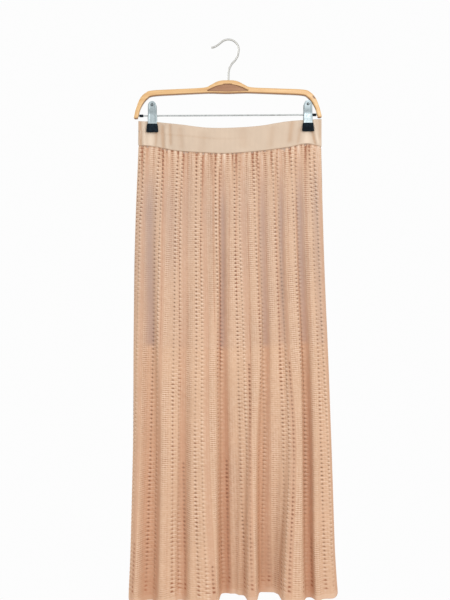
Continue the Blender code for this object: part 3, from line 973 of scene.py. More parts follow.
@dataclass(frozen=True)
class MattPaint(Finish):
    """Pale matt floor paint, rolled on: an even white with the faintest roller texture."""

    def material(self) -> Material:
        """Dress the floor.

        Returns:
            The material.
        """
        material, tree, shader, place = self.begin()
        roller = add_node(tree, "TexNoise", {"Scale": 60.0, "Detail": 3.0}, {0: place})
        bump = add_node(tree, "Bump", {"Strength": 0.05, "Distance": 0.5 * MM}, {"Height": roller})
        join(shader, {"Normal": bump})
        return material


def new_object(name: str, data: bpy.types.ID) -> Object:
    """Put a mesh, a light or a camera into the scene as an object."""
    obj = bpy.data.objects.new(name, data)
    bpy.context.scene.collection.objects.link(obj)
    return obj


def hand_over(obj: Object, slot: str, *nodes: str) -> None:
    """Fix a piece to the part's one body and hide the solids that it replaces.

    Args:
        obj: The piece.
        slot: Not used.
        nodes: Solids that it replaces.
    """
    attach(obj, "root")
    if nodes:
        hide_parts(*nodes)
    log.info("%s: %d faces", obj.name, len(obj.data.polygons))


@dataclass
class ClothPiece:
    """What all pieces of cloth share: how they drape, their finish and the solid they replace."""

    drape: Drape
    material: Material
    name: str

    def make(
        self,
        word: str,
        slot: str,
        rows: list[np.ndarray],
        maps: dict[str, np.ndarray],
        kept: np.ndarray | None = None,
    ) -> Object:
        """slot: Name of the piece's material slot.
            rows: Rows of points, from the top down and each from left to right.
            maps: Two values for each point under the name of each map.
            kept: Which cells of the grid are cloth, where some are holes.

        Returns:
            The piece.
        """
        points = np.stack(rows)
        count, columns = points.shape[:2]
        number = np.arange(count * columns).reshape(count, columns)
        a, b, d, e = number[:-1, :-1], number[:-1, 1:], number[1:, :-1], number[1:, 1:]
        faces = np.stack((a, d, e, b) if self.drape.facing is Facing.FRONT else (a, b, e, d), axis=-1)
        faces = faces.reshape(-1, 4) if kept is None else faces[kept]
        mesh = bpy.data.meshes.new(f"{self.name}_{word}")
        mesh.from_pydata(points.reshape(-1, 3).tolist(), [], faces.tolist())
        for map_name, values in maps.items():
            layer = mesh.uv_layers.new(name=map_name)
            layer.data.foreach_set("uv", values.reshape(-1, 2)[faces.ravel()].ravel().astype(np.float32))
        mesh.shade_smooth()
        mesh.materials.append(self.material)
        obj = new_object(mesh.name, mesh)
        hand_over(obj, slot, self.name)
        return obj


@dataclass
class OpenworkPanel(ClothPiece):
    """Front or back of the skirt: ten repeats of eyelet pairs, smooth strips and ladder strips.

    Stitches are drawn about 2 mm apart, coarser than the finest mesh of the real yarn, so that they show.
    """

    flat_width: float = 0.70
    flat_length: float = 0.90
    flat_area: float = 0.46
    repeats: int = 10
    wales: int = 20
    courses: int = 440
    pitch: int = 4
    left_eyelet: int = 4
    left_first: int = 2
    right_eyelet: int = 9
    right_first: int = 4
    extra_eyelet: int = 13
    smooth_strip: tuple[float, float] = (11.2, 15.4)
    ladder_strip: tuple[float, float] = (15.8, 21.0)
    inset: float = 1.0 * MM
    eyelet_width: float = 1.5 * MM
    eyelet_closing: float = 0.1 * MM
    slanted_rim: float = 0.6
    rim_beside: float = 0.35
    shade_depth: float = 22 * MM
    shade_most: float = 0.18
    shade_most_at_hem: float = 0.3
    shade_all_over: float = 0.13
    slant: float = 0.6 * MM
    unevenness: float = 0.09
    closed_below_seam: int = 8
    closed_above_hem: int = 20
    slip_end: float = 0.443
    slip_tones: tuple[float, float] = (0.06, 0.66)
    slip_touch: float = 3 * MM
    tuck: float = 0.7 * MM
    tuck_reach: float = 4 * MM
    swell: float = 0.5 * MM
    bead: float = 1.7 * MM
    bead_reach: float = 6 * MM
    hem_rows: tuple[tuple[float, float], ...] = (
        (0.3 * MM, -0.9 * MM),
        (1.2 * MM, -1.2 * MM),
        (2.0 * MM, -0.6 * MM),
        (2.2 * MM, 4.0 * MM),
    )
    hem_courses: int = 3
    hem_lift: float = 0.3 * MM
    hem_tone: float = 0.62
    gather_light_and_shade: float = 0.26
    gather_reach: float = 20 * MM
    gathered_courses: float = 24.0
    side_reach: float = 14 * MM
    pale_reach_of_strip: float = 25.0
    pale_reach: float = 10.0
    seam_shadow_reach: float = 1.5

    def window(self, wale: np.ndarray, start: float, end: float, soft: float = 1.0) -> np.ndarray:
        """Mark a strip of the repeat, softened at both edges.

        Args:
            wale: Wale of each point within its repeat.
            start: First wale of the strip.
            end: Last wale, which may be past the end of the repeat.
            soft: Width of each edge, in wales.

        Returns:
            1 inside the strip and 0 outside.
        """
        inside = np.zeros_like(wale, float)
        for shift in (-self.wales, 0, self.wales):
            near = wale + shift
            rise = smooth((near - start) / soft + 0.5)
            inside = np.maximum(inside, rise * smooth((end - near) / soft + 0.5))
        return inside

    def holes(self) -> np.ndarray:
        """Cells of the grid that are eyelets.

        Returns:
            True for each eyelet, by course and wale.
        """
        open_cells = np.zeros((self.courses, self.repeats * self.wales), bool)
        last = self.courses - 3 * self.hem_courses
        for repeat in range(self.repeats):
            first = repeat * self.wales
            open_cells[self.left_first : last : self.pitch, first + self.left_eyelet] = True
            open_cells[self.right_first : last : self.pitch, first + self.right_eyelet] = True
        for extra in EXTRA_EYELETS:
            start = int(extra.start * self.courses / self.pitch) * self.pitch
            open_cells[start : last : self.pitch, extra.repeat * self.wales + self.extra_eyelet] = True
        return open_cells

    def closed(self, holes: np.ndarray) -> np.ndarray:
        """Eyelets that yarn has drawn shut: in the gathers, near the hem, and on the back below the slip.

        Args:
            holes: Cells that are eyelets.

        Returns:
            True for each eyelet that is only a pit.
        """
        rows = np.arange(self.courses)[:, None]
        shut = (rows > self.courses - self.closed_above_hem) | (rows < self.closed_below_seam)
        if self.drape.facing is Facing.BACK:
            shut = shut | (rows > (self.slip_end - 0.02) * self.courses)
        return holes & shut

    def eyelet_edges(self, holes: np.ndarray) -> np.ndarray:
        """Find the points round the eyelets, and lean the right-hand ones.

        Args:
            holes: Cells that are eyelets.

        Returns:
            For each point its edge (-1 left, 1 right), its lean, how far it goes down and how near it is.
        """
        shape = (holes.shape[0] + 1, holes.shape[1] + 1)
        edge, lean, down, rim = np.zeros((4, *shape))
        rows, columns = np.nonzero(holes)
        leaning = columns % self.wales == self.right_eyelet
        for below in (0, 1):
            for right in (0, 1):
                place = (rows + below, columns + right)
                edge[place] = 2 * right - 1
                lean[place] = np.where(leaning, self.slant * (1 - 2 * below), 0.0)
                down[place] = (1 - 2 * below) * self.eyelet_closing
                rim[place] = np.where(leaning, self.slanted_rim, 1.0)
        rim[rows[leaning], columns[leaning] - 1] = self.rim_beside
        rim[rows[leaning] + 1, columns[leaning] + 2] = self.rim_beside
        return np.stack((edge, lean, down, rim))

    def relief(self, wale: np.ndarray, course: np.ndarray, rim: np.ndarray) -> tuple[np.ndarray, np.ndarray]:
        """Work out how far the stitches stand out, and their tones with painted light and shade.

        Args:
            wale: Wale of each point within its repeat.
            course: Course of each point.
            rim: How near each point is to an eyelet.

        Returns:
            Distances out, and tones from 0 in painted pit shade through 0.5 to 1 on painted highlights of
            raised stitches.
        """
        pair = self.window(wale, self.left_eyelet - 0.5, self.right_eyelet + 1.5)
        between = self.window(wale, self.left_eyelet + 1.2, self.right_eyelet - 0.2)
        middle = (self.left_eyelet + self.right_eyelet + 1) / 2
        chevron = np.cos(2 * math.pi * (course / self.pitch - abs(wale - middle) / 7))
        flat_strip = self.window(wale, *self.smooth_strip)
        ladder = self.window(wale, *self.ladder_strip)
        mesh = 1 - np.maximum(flat_strip, ladder)
        rung, rib = np.cos(math.pi * course), np.cos(math.pi * wale)
        crease = self.window(wale, 15.2, 15.8, 0.8)
        step = 2 * math.pi / self.pitch
        bumps = bell(wale, self.left_eyelet + 0.5, 1.1) * (1 - np.cos((course - 2.5) * step))
        bumps += bell(wale, self.right_eyelet + 1.1, 1.4) * (1 - np.cos((course - 4.5) * step))
        out = 0.4 * pair + 0.2 * between * chevron + 0.12 * bumps - 0.4 * flat_strip
        out += 0.2 * ladder * rung - 0.35 * rim - 0.3 * crease
        # Painted highlights on the raised bumps, chevrons and ladder rungs, and painted shade between the
        # rungs, round the eyelets and in the crease between strips
        tone = 0.5 + 0.13 * between * chevron + 0.11 * bumps + 0.14 * mesh * rung + 0.06 * rib
        rim_shade = 0.14 + 0.18 * smooth(course / self.gathered_courses)
        tone += 0.26 * ladder * rung - rim_shade * rim - 0.1 * crease
        tone += 0.16 * flat_strip * np.exp(-course / self.pale_reach_of_strip)
        tone += 0.05 * np.exp(-course / self.pale_reach) - 0.1 * np.exp(-course / self.seam_shadow_reach)
        return out * MM, np.clip(tone, 0.0, 1.0)

    def puckers(self, x: np.ndarray, down: float) -> np.ndarray:
        """Depth of the gathers under the waist seam."""
        depth = np.zeros_like(x)
        for crease in SEAM_PUCKERS:
            fade = math.exp(-down / crease.reach)
            depth -= crease.depth * MM * fade * bell(x, crease.x, crease.half_width * MM)
        return depth

    def pleats(self, line: Line, part: float) -> np.ndarray:
        """Depth of the narrow pressed creases, in mm."""
        depth = np.zeros_like(line.x)
        for pleat in PLEAT_LINES:
            across = pleat.across if self.drape.facing is Facing.FRONT else 1 - pleat.across
            middle = blend(line.x[0], line.x[-1], across + 0.004 * math.sin(9 * part + 40 * pleat.across))
            here = smooth((part - pleat.start) * 30) * smooth((pleat.end - part) * 8)
            depth += pleat.depth * here * bell(line.x, middle, pleat.half_width * MM)
        return depth

    def away_from_sides(self, line: Line) -> np.ndarray:
        """0 at both side seams, rising to 1 a little way in."""
        left, right = line.x - line.x[0], line.x[-1] - line.x
        return smooth(left / self.side_reach) * smooth(right / self.side_reach)

    def fold_shade(self, line: Line, part: float, stands_off: np.ndarray) -> np.ndarray:
        """Work out the painted shade of each point of a row, from how deep in its folds it lies.

        Args:
            line: The row.
            part: Its place down the panel.
            stands_off: How far each point stands off the floor of the valleys.

        Returns:
            0 on the ridges, up to the most painted shade at the floor of a deep valley, plus a little
            darkening all over that grows towards the hem.
        """
        left, right = self.drape.side("left", part), self.drape.side("right", part)
        ridges = self.drape.folds[::2]
        x = [float(blend(left, right, through(LEVELS, fold.across, part))) for fold in ridges]
        height = [float(through(LEVELS, fold.out, part)) * MM for fold in ridges]
        depth = np.interp(line.x, x, height) - stands_off
        most = blend(self.shade_most, self.shade_most_at_hem, part) * self.away_from_sides(line)
        # Painted shade in the depth of the folds, plus darkening all over that grows towards the hem
        return most * smooth(depth / self.shade_depth) + self.shade_all_over * part

    def build(self) -> None:
        """Knit the panel: real eyelets, raised stitches, gathers at the seam and a turned hem."""
        columns = self.repeats * self.wales
        course, wale = np.mgrid[: self.courses + 1, : columns + 1].astype(float)
        holes = self.holes()
        closed = self.closed(holes)
        edge, lean, down, rim = self.eyelet_edges(holes)
        out, tone = self.relief(wale % self.wales, course, rim)
        scattered = np.sin(wale * 12.9898 + course * 78.233 + self.drape.facing.value) * 43758.5453
        patches = (0.9 + 0.6 * waver(wale * 0.006, course * 0.004, 3.0)) * (1 - 0.25 * course / self.courses)
        tone = 0.5 + (tone - 0.5) * patches + self.unevenness * (2 * (scattered % 1.0) - 1)
        # Closed eyelets get a painted pit shade
        tone -= 0.18 * self.eyelet_edges(closed)[3] * smooth(course / self.gathered_courses)
        plain = smooth((course - self.courses + 2 * self.hem_courses) / self.hem_courses)
        out = blend(out, self.hem_lift, plain)
        tone = blend(tone, self.hem_tone, plain)
        rows, slip, shade = [], [], []
        seam_z = self.drape.seam_z()
        for r in range(self.courses + 1):
            part = r / self.courses
            base = self.drape.skirt_line(part).spread(columns + 1)
            fallen = part * (seam_z - HEM_Z)
            tuck = self.tuck * (1 - smooth(fallen / self.tuck_reach))
            swell = self.swell * waver(base.x, fallen, self.drape.facing.value) * smooth(part * 8)
            pressed = self.pleats(base, part)
            drawn = self.puckers(base.x, fallen)
            gather = drawn - pressed * 0.7 * MM
            # Painted shade in the puckers and pressed creases under the seam, and painted highlights on the
            # small bumps between them
            bead_highlights = np.cos(base.x / self.bead + 2 * waver(base.x, 0.0, 5.0))
            bead_highlights = 0.9 * bead_highlights * math.exp(-fallen / self.bead_reach)
            paler = 0.35 * math.exp(-fallen / self.gather_reach)
            tone[r] += self.gather_light_and_shade * (gather / MM + bead_highlights + paler)
            lifted = out[r] - self.inset - tuck + swell + gather
            narrowed = np.hypot(*np.diff((base.x[:2], base.out[:2]))[:, 0]) - self.eyelet_width
            moved = base.moved(lifted, lean[r] - edge[r] * max(0.0, narrowed) / 2)
            heights = blend(self.drape.edge(base.x, "seam"), self.drape.hem_height(base), part) - down[r]
            rows.append(self.drape.points(moved, heights))
            stands_off = np.maximum(base.out - self.drape.core_depth(base.x, part), 0.0)
            shows = 1 - smooth((part - self.slip_end) * self.courses / 8 + 0.5)
            near = np.exp(-stands_off / self.slip_touch) * self.away_from_sides(base) * smooth(part * 6)
            slip.append(shows * blend(*self.slip_tones, near))
            # Painted shade in the pressed creases and the seam's puckers, added to the fold shade
            creased = 0.22 * pressed - 0.1 * drawn / MM
            shade.append(np.clip(self.fold_shade(base, part, stands_off) + creased, 0.0, 0.9))
        for inward, drop in self.hem_rows:
            turned = base.moved(self.hem_lift - self.inset - inward)
            rows.append(self.drape.points(turned, self.drape.hem_height(base) + drop))
        extra = len(self.hem_rows)
        below = np.arange(1.0, extra + 1)[:, None]
        stitches = np.concatenate((spots(wale, course), spots(wale[-1], self.courses + below)))
        tone = np.concatenate((np.clip(tone, 0.0, 1.0), np.full((extra, columns + 1), 0.5)))
        slip = np.concatenate((slip, np.zeros((extra, columns + 1))))
        shade = np.stack(shade + [shade[-1]] * extra)
        kept = np.concatenate((~holes | closed, np.ones((extra, columns), bool)))
        maps = {"Stitches": stitches, "Relief": spots(tone, slip), "Fold": spots(shade, shade)}
        obj = self.make("openwork", "openwork_knit", rows, maps, kept)


@dataclass
class Waistband(ClothPiece):
    """Front or back half of the ribbed waistband: a strip folded over elastic, sewn at its foot."""

    ribs: int = 150
    columns_to_a_rib: int = 4
    outer_rows: int = 30
    rib_height: float = 0.25 * MM
    inset: float = 0.5 * MM
    inner_inset: float = 2.0 * MM
    flat_height: float = 0.1
    channel_part: float = 0.42
    channel_depth: float = 0.35 * MM
    courses: float = 24.0
    tone: float = 0.62
    rib_light_and_shade: float = 0.06
    crease_light_and_shade: float = 0.16

    def profile(self) -> list[tuple[float, float, float, float]]:
        """Rows from inside the foot, over the top edge and down the outside.

        Returns:
            For each row the part of the height, its rise, its inset and how far its ribs show.
        """
        rows = [(part, 0.0, self.inner_inset, 0.5) for part in np.linspace(0.96, 0.04, 8)]
        rows += [(0.0, 0.0, 1.9 * MM, 0.7), (0.0, 0.5 * MM, 1.55 * MM, 0.8), (0.0, 0.6 * MM, 1.1 * MM, 0.9)]
        rows += [(0.0, 0.4 * MM, 0.7 * MM, 1.0)]
        rows += [(part, 0.0, self.inset, 1.0) for part in np.linspace(0.01, 0.97, self.outer_rows)]
        rows += [(0.985, 0.0, self.inset + 0.3 * MM, 0.8), (0.995, 0.0, self.inset + 0.8 * MM, 0.5)]
        rows += [(1.0, 0.0, self.inset + 1.6 * MM, 0.3)]
        return rows

    def creases(self, x: np.ndarray, part: float) -> np.ndarray:
        """Depth of the soft creases and of the sewn channel at one height."""
        depth = np.zeros_like(x)
        for crease in BAND_CREASES:
            here = smooth((part - crease.start) * 5 + 0.6) * smooth((crease.end - part) * 5 + 0.6)
            middle = crease.x + crease.slant * MM * (part - 0.5)
            depth -= crease.depth * MM * here * bell(x, middle, crease.half_width * MM)
        place = self.channel_part + 0.03 * waver(x, 0.0, 1.0)
        channel = bell(part, place, 0.04) * smooth(0.6 - x / 0.1)
        return depth - self.channel_depth * channel

    def build(self) -> None:
        """Knit the half band."""
        columns = self.ribs * self.columns_to_a_rib
        number = np.arange(columns + 1)
        wave = np.cos(2 * math.pi * number / self.columns_to_a_rib)
        rows, tones, stitches = [], [], []
        for part, rise, inset, ribbed in self.profile():
            base = self.drape.band_line(part).spread(columns + 1)
            outside = 1.0 if inset < 1.0 * MM else 0.0
            creased = outside * self.creases(base.x, part)
            line = base.moved(wave * self.rib_height * ribbed - inset + creased)
            seam = self.drape.edge(base.x, "seam") + GAP
            heights = blend(self.drape.edge(base.x, "top"), seam, part) + rise
            rows.append(self.drape.points(line, heights))
            # Painted light on the ribs and bulges, painted shade in the grooves and creases
            shade = self.tone + self.rib_light_and_shade * wave * ribbed + creased / MM * self.crease_light_and_shade
            # Painted shade at the foot of the band, by the seam
            tones.append(np.clip(shade * (1 - 0.3 * smooth((part - 0.96) / 0.04)), 0.0, 1.0))
            stitches.append(spots(number / self.columns_to_a_rib, part * self.courses - rise / MM))
        maps = {"Stitches": np.stack(stitches), "Relief": spots(np.stack(tones), 0.0)}
        obj = self.make("rib", "rib_knit", rows, maps)


@dataclass
class SlipHalf(ClothPiece):
    """Front or back of the short slip inside the skirt, sewn into the waist seam."""

    clearance: float = 1.2 * MM
    side_inset: float = 4 * MM
    freed_by: float = 4.0
    knots: int = 21
    side_share: float = 0.022
    columns: int = 150
    rows: int = 110
    ripple: float = 0.45 * MM
    hem_height: float = 12 * MM
    hem_ridge: float = 0.25 * MM

    def build(self) -> None:
        """Hang the slip inside the knit, with soft ripples and a stitched hem."""
        seam_z = self.drape.seam_z()
        to_part = (LINING_HEM_Z - seam_z) / (HEM_Z - seam_z)
        rows, places = [], []
        for r in range(self.rows + 1):
            share = r / self.rows
            part = share * to_part
            freed = float(smooth(share * self.freed_by))
            inset = KNIT_WALL + 2 * GAP + self.clearance * freed
            left = self.drape.side("left", part) + inset + self.side_inset * freed
            right = self.drape.side("right", part) - inset - self.side_inset * freed
            x = blend(left, right, np.linspace(self.side_share, 1 - self.side_share, self.knots))
            knot = Line(x, self.drape.core_depth(x, part) - inset)
            base = self.drape.section(left, right, knot).spread(self.columns + 1)
            fallen = share * (seam_z - LINING_HEM_Z)
            ripple = self.ripple * (waver(base.x * 1.7, fallen * 0.3, 2.0) - 1.0) * freed
            above_hem = (1 - share) * (seam_z - LINING_HEM_Z)
            ridge = self.hem_ridge * bell(above_hem, self.hem_height, 1.2 * MM)
            line = base.moved(ripple - ridge)
            heights = blend(self.drape.edge(base.x, "seam") - GAP, LINING_HEM_Z, share)
            rows.append(self.drape.points(line, heights))
            places.append(spots(base.x, fallen))
        obj = self.make("slip", "lining_cloth", rows, {"Cloth": np.stack(places)})


def leaning(points: np.ndarray) -> np.ndarray:
    """Lean points with the hanger, which hangs a little higher at the right.

    Args:
        points: Points in space, in the last axis.

    Returns:
        The same points turned round the hook.
    """
    turn = np.array((
        (math.cos(HANGER_TILT), 0.0, -math.sin(HANGER_TILT)),
        (0.0, 1.0, 0.0),
        (math.sin(HANGER_TILT), 0.0, math.cos(HANGER_TILT)),
    ))
    return points @ turn


def solid_object(name: str, sections: np.ndarray, material: Material, closed: bool = False) -> Object:
    """Make a closed solid through a row of sections, leaning with the hanger.

    Args:
        name: Name of the piece.
        sections: Sections, points of each and their places.
        material: Finish of the piece.
        closed: Whether the last section joins the first, as in a ring.

    Returns:
        The piece.
    """
    count, around = sections.shape[:2]
    faces = []
    for k in range(count if closed else count - 1):
        here, after = k * around, (k + 1) % count * around
        for i in range(around):
            j = (i + 1) % around
            faces.append((here + i, here + j, after + j, after + i))
    if not closed:
        faces += [tuple(range(around))[::-1], tuple(range((count - 1) * around, count * around))]
    mesh = bpy.data.meshes.new(name)
    mesh.from_pydata(leaning(sections).reshape(-1, 3).tolist(), [], faces)
    work = bmesh.new()
    work.from_mesh(mesh)
    bmesh.ops.recalc_face_normals(work, faces=work.faces)
    work.to_mesh(mesh)
    work.free()
    mesh.shade_smooth()
    mesh.set_sharp_from_angle(angle=math.radians(48))
    mesh.materials.append(material)
    return new_object(name, mesh)


def prism(
    name: str, x: np.ndarray, z: np.ndarray, facing: Facing, out: float, reach: float, material: Material
) -> Object:
    """Make a solid with one outline as seen from the front, reaching as far inwards as outwards.

    Args:
        name: Name of the piece.
        x: Places across of the outline.
        z: Places up of the outline.
        facing: Side of the hanger that it is on.
        out: Distance of its middle from the hanger's middle plane.
        reach: How far it goes to each side of its middle.
        material: Finish of the piece.

    Returns:
        The piece.
    """
    ends = [facing.value * (out + step) for step in (-reach, reach)]
    return solid_object(name, np.stack([spots(x, y, z) for y in ends]), material)


def carve(obj: Object, tools: list[Object]) -> None:
    """Cut tools out of a piece for good, leaving each tool's finish on the cut faces.

    Args:
        obj: The piece.
        tools: Solids to take away, which are removed afterwards.
    """
    for tool in tools:
        cut = obj.modifiers.new("carve", "BOOLEAN")
        cut.operation = "DIFFERENCE"
        cut.solver = "EXACT"
        cut.material_mode = "TRANSFER"
        cut.object = tool
    bpy.context.view_layer.update()
    graph = bpy.context.evaluated_depsgraph_get()
    carved = bpy.data.meshes.new_from_object(obj.evaluated_get(graph), depsgraph=graph)
    obj.modifiers.clear()
    obj.data = carved
    for tool in tools:
        bpy.data.objects.remove(tool, do_unlink=True)


@dataclass
class BentBar:
    """Bent wooden bar of the hanger, with the recess that is carved into both of its faces."""

    wood: Material
    # Darker wood of the carved recess, partly painted shade of the recess
    recess_shaded_wood: Material
    thick: float = 12 * MM
    squareness: float = 0.45
    sides: int = 36
    steps: int = 6
    lens_half_width: float = 0.0406
    lens_top: float = -0.0882
    lens_bottom: float = -0.1026
    lens_depth: float = 1.8 * MM
    lens_corner: float = 0.8 * MM
    lens_steps: int = 28
    end_rounding: tuple[tuple[float, float], ...] = ((0.96, 0.9), (0.86, 1.8), (0.68, 2.5), (0.4, 3.0))

    def section(self, outer_x: float, outer_z: float, inner_x: float, inner_z: float) -> np.ndarray:
        """Rounded oblong between the bar's outer and inner edge."""
        angle = 2 * math.pi * (np.arange(self.sides) + 0.5) / self.sides
        edge = squared(np.sin(angle), self.squareness)
        x = (outer_x + inner_x) / 2 + (outer_x - inner_x) / 2 * edge
        z = (outer_z + inner_z) / 2 + (outer_z - inner_z) / 2 * edge
        return spots(x, self.thick / 2 * squared(np.cos(angle), self.squareness), z)

    def lens(self, facing: Facing) -> Object:
        """Solid of the carved recess on one face: an arched top over a nearly straight lower edge."""
        share = np.linspace(-1.0, 1.0, self.lens_steps + 1)
        z = blend(self.lens_top, self.lens_bottom + self.lens_corner, share**2)
        x = np.append(HANGER_CENTRE_X + share * self.lens_half_width, HANGER_CENTRE_X)
        z = np.append(z, self.lens_bottom - self.lens_corner)
        return prism("carved_lens", x, z, facing, self.thick / 2, self.lens_depth, self.recess_shaded_wood)

    def build(self) -> None:
        """Bend the bar and carve the recess."""
        places = list(range(len(BAR_STATIONS)))
        half = []
        for at in np.linspace(0.0, places[-1], places[-1] * self.steps + 1):
            sizes = [float(through(places, column(BAR_STATIONS, name), at)) for name in BarStation._fields]
            half.append(self.section(*sizes))
        end, middle = half[-1], half[-1].mean(axis=0)
        for share, drop in self.end_rounding:
            half.append(blend(middle, end, share) - np.array((0.0, 0.0, drop * MM)))
        mirrored = [points * np.array((-1.0, 1.0, 1.0)) for points in half[:0:-1]]
        sections = np.stack(mirrored + half) + np.array((HANGER_CENTRE_X, 0.0, 0.0))
        bar = solid_object("bent_wooden_bar", sections, self.wood)
        carve(bar, [self.lens(Facing.FRONT), self.lens(Facing.BACK)])
        hand_over(bar, "bent_wood", "hanger_bar")


@dataclass
class SpringClip:
    """One clip: two pressed jaws with rubber feet, and the coil spring round the rod."""

    steel: Material
    hole_shadow_steel: Material
    rubber: Material
    word: str
    centre_x: float
    plate: float = 1.2 * MM
    hole_radius: float = 1.7 * MM
    hole_reach: float = 5 * MM
    hole_z: float = 0.0205
    ring_wire: float = 0.75 * MM
    coil_radius: float = 3.3 * MM
    coil_wire: float = 0.55 * MM
    coil_half_length: float = 5.6 * MM
    coil_turns: int = 8
    steps_to_a_turn: int = 20
    foot_near: float = KNIT_WALL + 1.5 * GAP
    foot_far: float = 9.0 * MM
    foot_top: float = -0.0166
    foot_bottom: float = -0.0336
    foot_half_width_top: float = 10.6 * MM
    foot_half_width_bottom: float = 12.4 * MM
    foot_corner: float = 2.2 * MM
    grip_grooves: int = 3
    grips_to_a_foot: int = 6
    grip_start: float = 0.08
    grip_depth: float = 0.25 * MM
    foot_rows: int = 40
    foot_squareness: tuple[float, float] = (0.35, 0.5)
    jaw_columns: int = 33
    jaw_rows: int = 30
    rounded_top: float = 6 * MM
    rounded_side: float = 0.06

    def node(self, facing: Facing, word: str) -> str:
        """Name of a part of this clip that has a front and a back."""
        return f"clip_{self.word}_{facing.name.lower()}_{word}"

    def jaw(self, facing: Facing) -> None:
        """Press one jaw: a rounded top, a raised ridge along each side and a round hole.

        Args:
            facing: Front or back jaw.
        """
        name = self.node(facing, "jaw")
        heights = column(JAW_STATIONS, "z")[::-1]
        rounded = heights[-1] - self.rounded_top * (1 - np.cos(np.linspace(0, math.pi / 2, 9)))
        z = np.concatenate((rounded, np.linspace(rounded[-1], heights[0], self.jaw_rows)[1:]))[:, None]
        out, half_width, ridge = (
            through(heights, column(JAW_STATIONS, size)[::-1], z) for size in ("out", "half_width", "ridge")
        )
        share = np.linspace(-1.0, 1.0, self.jaw_columns)
        x = self.centre_x + half_width * share
        face = out + ridge * bell(abs(share), 0.8, 0.13)
        past = np.clip(abs(share) - 1 + self.rounded_side, 0, 1) / self.rounded_side
        rim = self.plate / 2 * np.sqrt(np.clip(1 - past**2, 0.02, 1))
        front, rear = (spots(x, facing.value * side, z + ROD_Z) for side in (face + rim, face - rim))
        sections = np.concatenate((front, rear[:, ::-1]), axis=1)
        obj = solid_object(name + "_pressed", sections, self.steel)
        carve(obj, [self.pin(facing)])
        hand_over(obj, "zinc_plated_steel", name)

    def round_hole(self, radius: np.ndarray | float, turn: np.ndarray) -> tuple[np.ndarray, np.ndarray]:
        """Places across and up of a circle round the middle of the hole."""
        return self.centre_x + radius * np.cos(turn), ROD_Z + self.hole_z + radius * np.sin(turn)

    def pin(self, facing: Facing) -> Object:
        """Round pin through the place of a jaw's hole."""
        x, z = self.round_hole(self.hole_radius, full_turn(32))
        return prism("pin", x, z, facing, JAW_STATIONS[0].out, self.hole_reach, self.steel)

    def ring(self, facing: Facing) -> None:
        """Rolled rim round a jaw's hole, its dark finish a painted shadow of the hole.

        Args:
            facing: Front or back jaw.
        """
        around, across = np.meshgrid(full_turn(36), full_turn(10), indexing="ij")
        radius = self.hole_radius + self.ring_wire / 2 + self.ring_wire * np.cos(across)
        middle = JAW_STATIONS[4].out + self.plate / 2
        x, z = self.round_hole(radius, around)
        y = facing.value * (middle + self.ring_wire * np.sin(across))
        obj = solid_object(self.node(facing, "hole_rim"), spots(x, y, z), self.hole_shadow_steel, closed=True)
        hand_over(obj, "zinc_plated_steel")

    def foot(self, facing: Facing) -> None:
        """Mould one rubber foot: wider at the bottom, rounded all round, with grip grooves in front.

        Args:
            facing: Front or back foot.
        """
        name = self.node(facing, "foot")
        height = self.foot_top - self.foot_bottom
        turn = full_turn(48)
        powers = self.foot_squareness
        corner_x, corner_y = squared(np.cos(turn), powers[0]), squared(np.sin(turn), powers[1])
        sections = []
        for share in np.linspace(0.0, 1.0, self.foot_rows + 1):
            short = max(0.0, self.foot_corner - min(share, 1 - share) * height)
            pulled = self.foot_corner - math.sqrt(max(0.0, self.foot_corner**2 - short**2))
            half = blend(self.foot_half_width_bottom, self.foot_half_width_top, share) - pulled
            gripping = 0 < share - self.grip_start < self.grip_grooves / self.grips_to_a_foot
            swing = math.cos(2 * math.pi * (share * self.grips_to_a_foot + 0.5))
            groove = max(0.0, swing) ** 6 * gripping
            deep = (self.foot_far - self.foot_near) / 2 - pulled * 0.6
            y = (self.foot_far + self.foot_near) / 2 + corner_y * deep
            y = y - np.where(corner_y > 0.5, groove * self.grip_depth, 0.0)
            z = ROD_Z + blend(self.foot_bottom, self.foot_top, share)
            sections.append(spots(self.centre_x + corner_x * half, facing.value * y, z))
        obj = solid_object(name + "_moulded", np.stack(sections), self.rubber)
        hand_over(obj, "black_rubber", name)

    def coil(self) -> None:
        """Wind the spring round the rod."""
        steps = self.coil_turns * self.steps_to_a_turn
        turn = 2 * math.pi * self.coil_turns * np.arange(steps + 1) / steps
        along = self.centre_x + self.coil_half_length * np.linspace(-1.0, 1.0, steps + 1)
        across = full_turn(8)
        radius = self.coil_radius + self.coil_wire * np.cos(across)
        x = along[:, None] + self.coil_wire * np.sin(across)
        turn = turn[:, None]
        points = spots(x, radius * np.cos(turn), ROD_Z + radius * np.sin(turn))
        obj = solid_object(f"clip_{self.word}_coil", points, self.steel)
        hand_over(obj, "zinc_plated_steel", f"clip_{self.word}_spring")

    def build(self) -> None:
        """Make the whole clip."""
        self.coil()
        for facing in Facing:
            self.jaw(facing)
            self.ring(facing)
            self.foot(facing)


@dataclass
class HangerMetal:
    """Hook, rod and end caps of the hanger, which keep their own solids."""

    wire: Material
    steel: Material
    rubber: Material

    def dress(self, nodes: dict[str, Object]) -> None:
        """Give each solid its finish.

        Args:
            nodes: The frame's solids by name.
        """
        finishes = {
            "hanger_hook": self.wire,
            "hanger_rod": self.steel,
            "rod_cap_left": self.rubber,
            "rod_cap_right": self.rubber,
        }
        for name, finish in finishes.items():
            for slot in nodes[name].material_slots:
                slot.material = finish
            log.info("%s dressed with %s", name, finish.name)


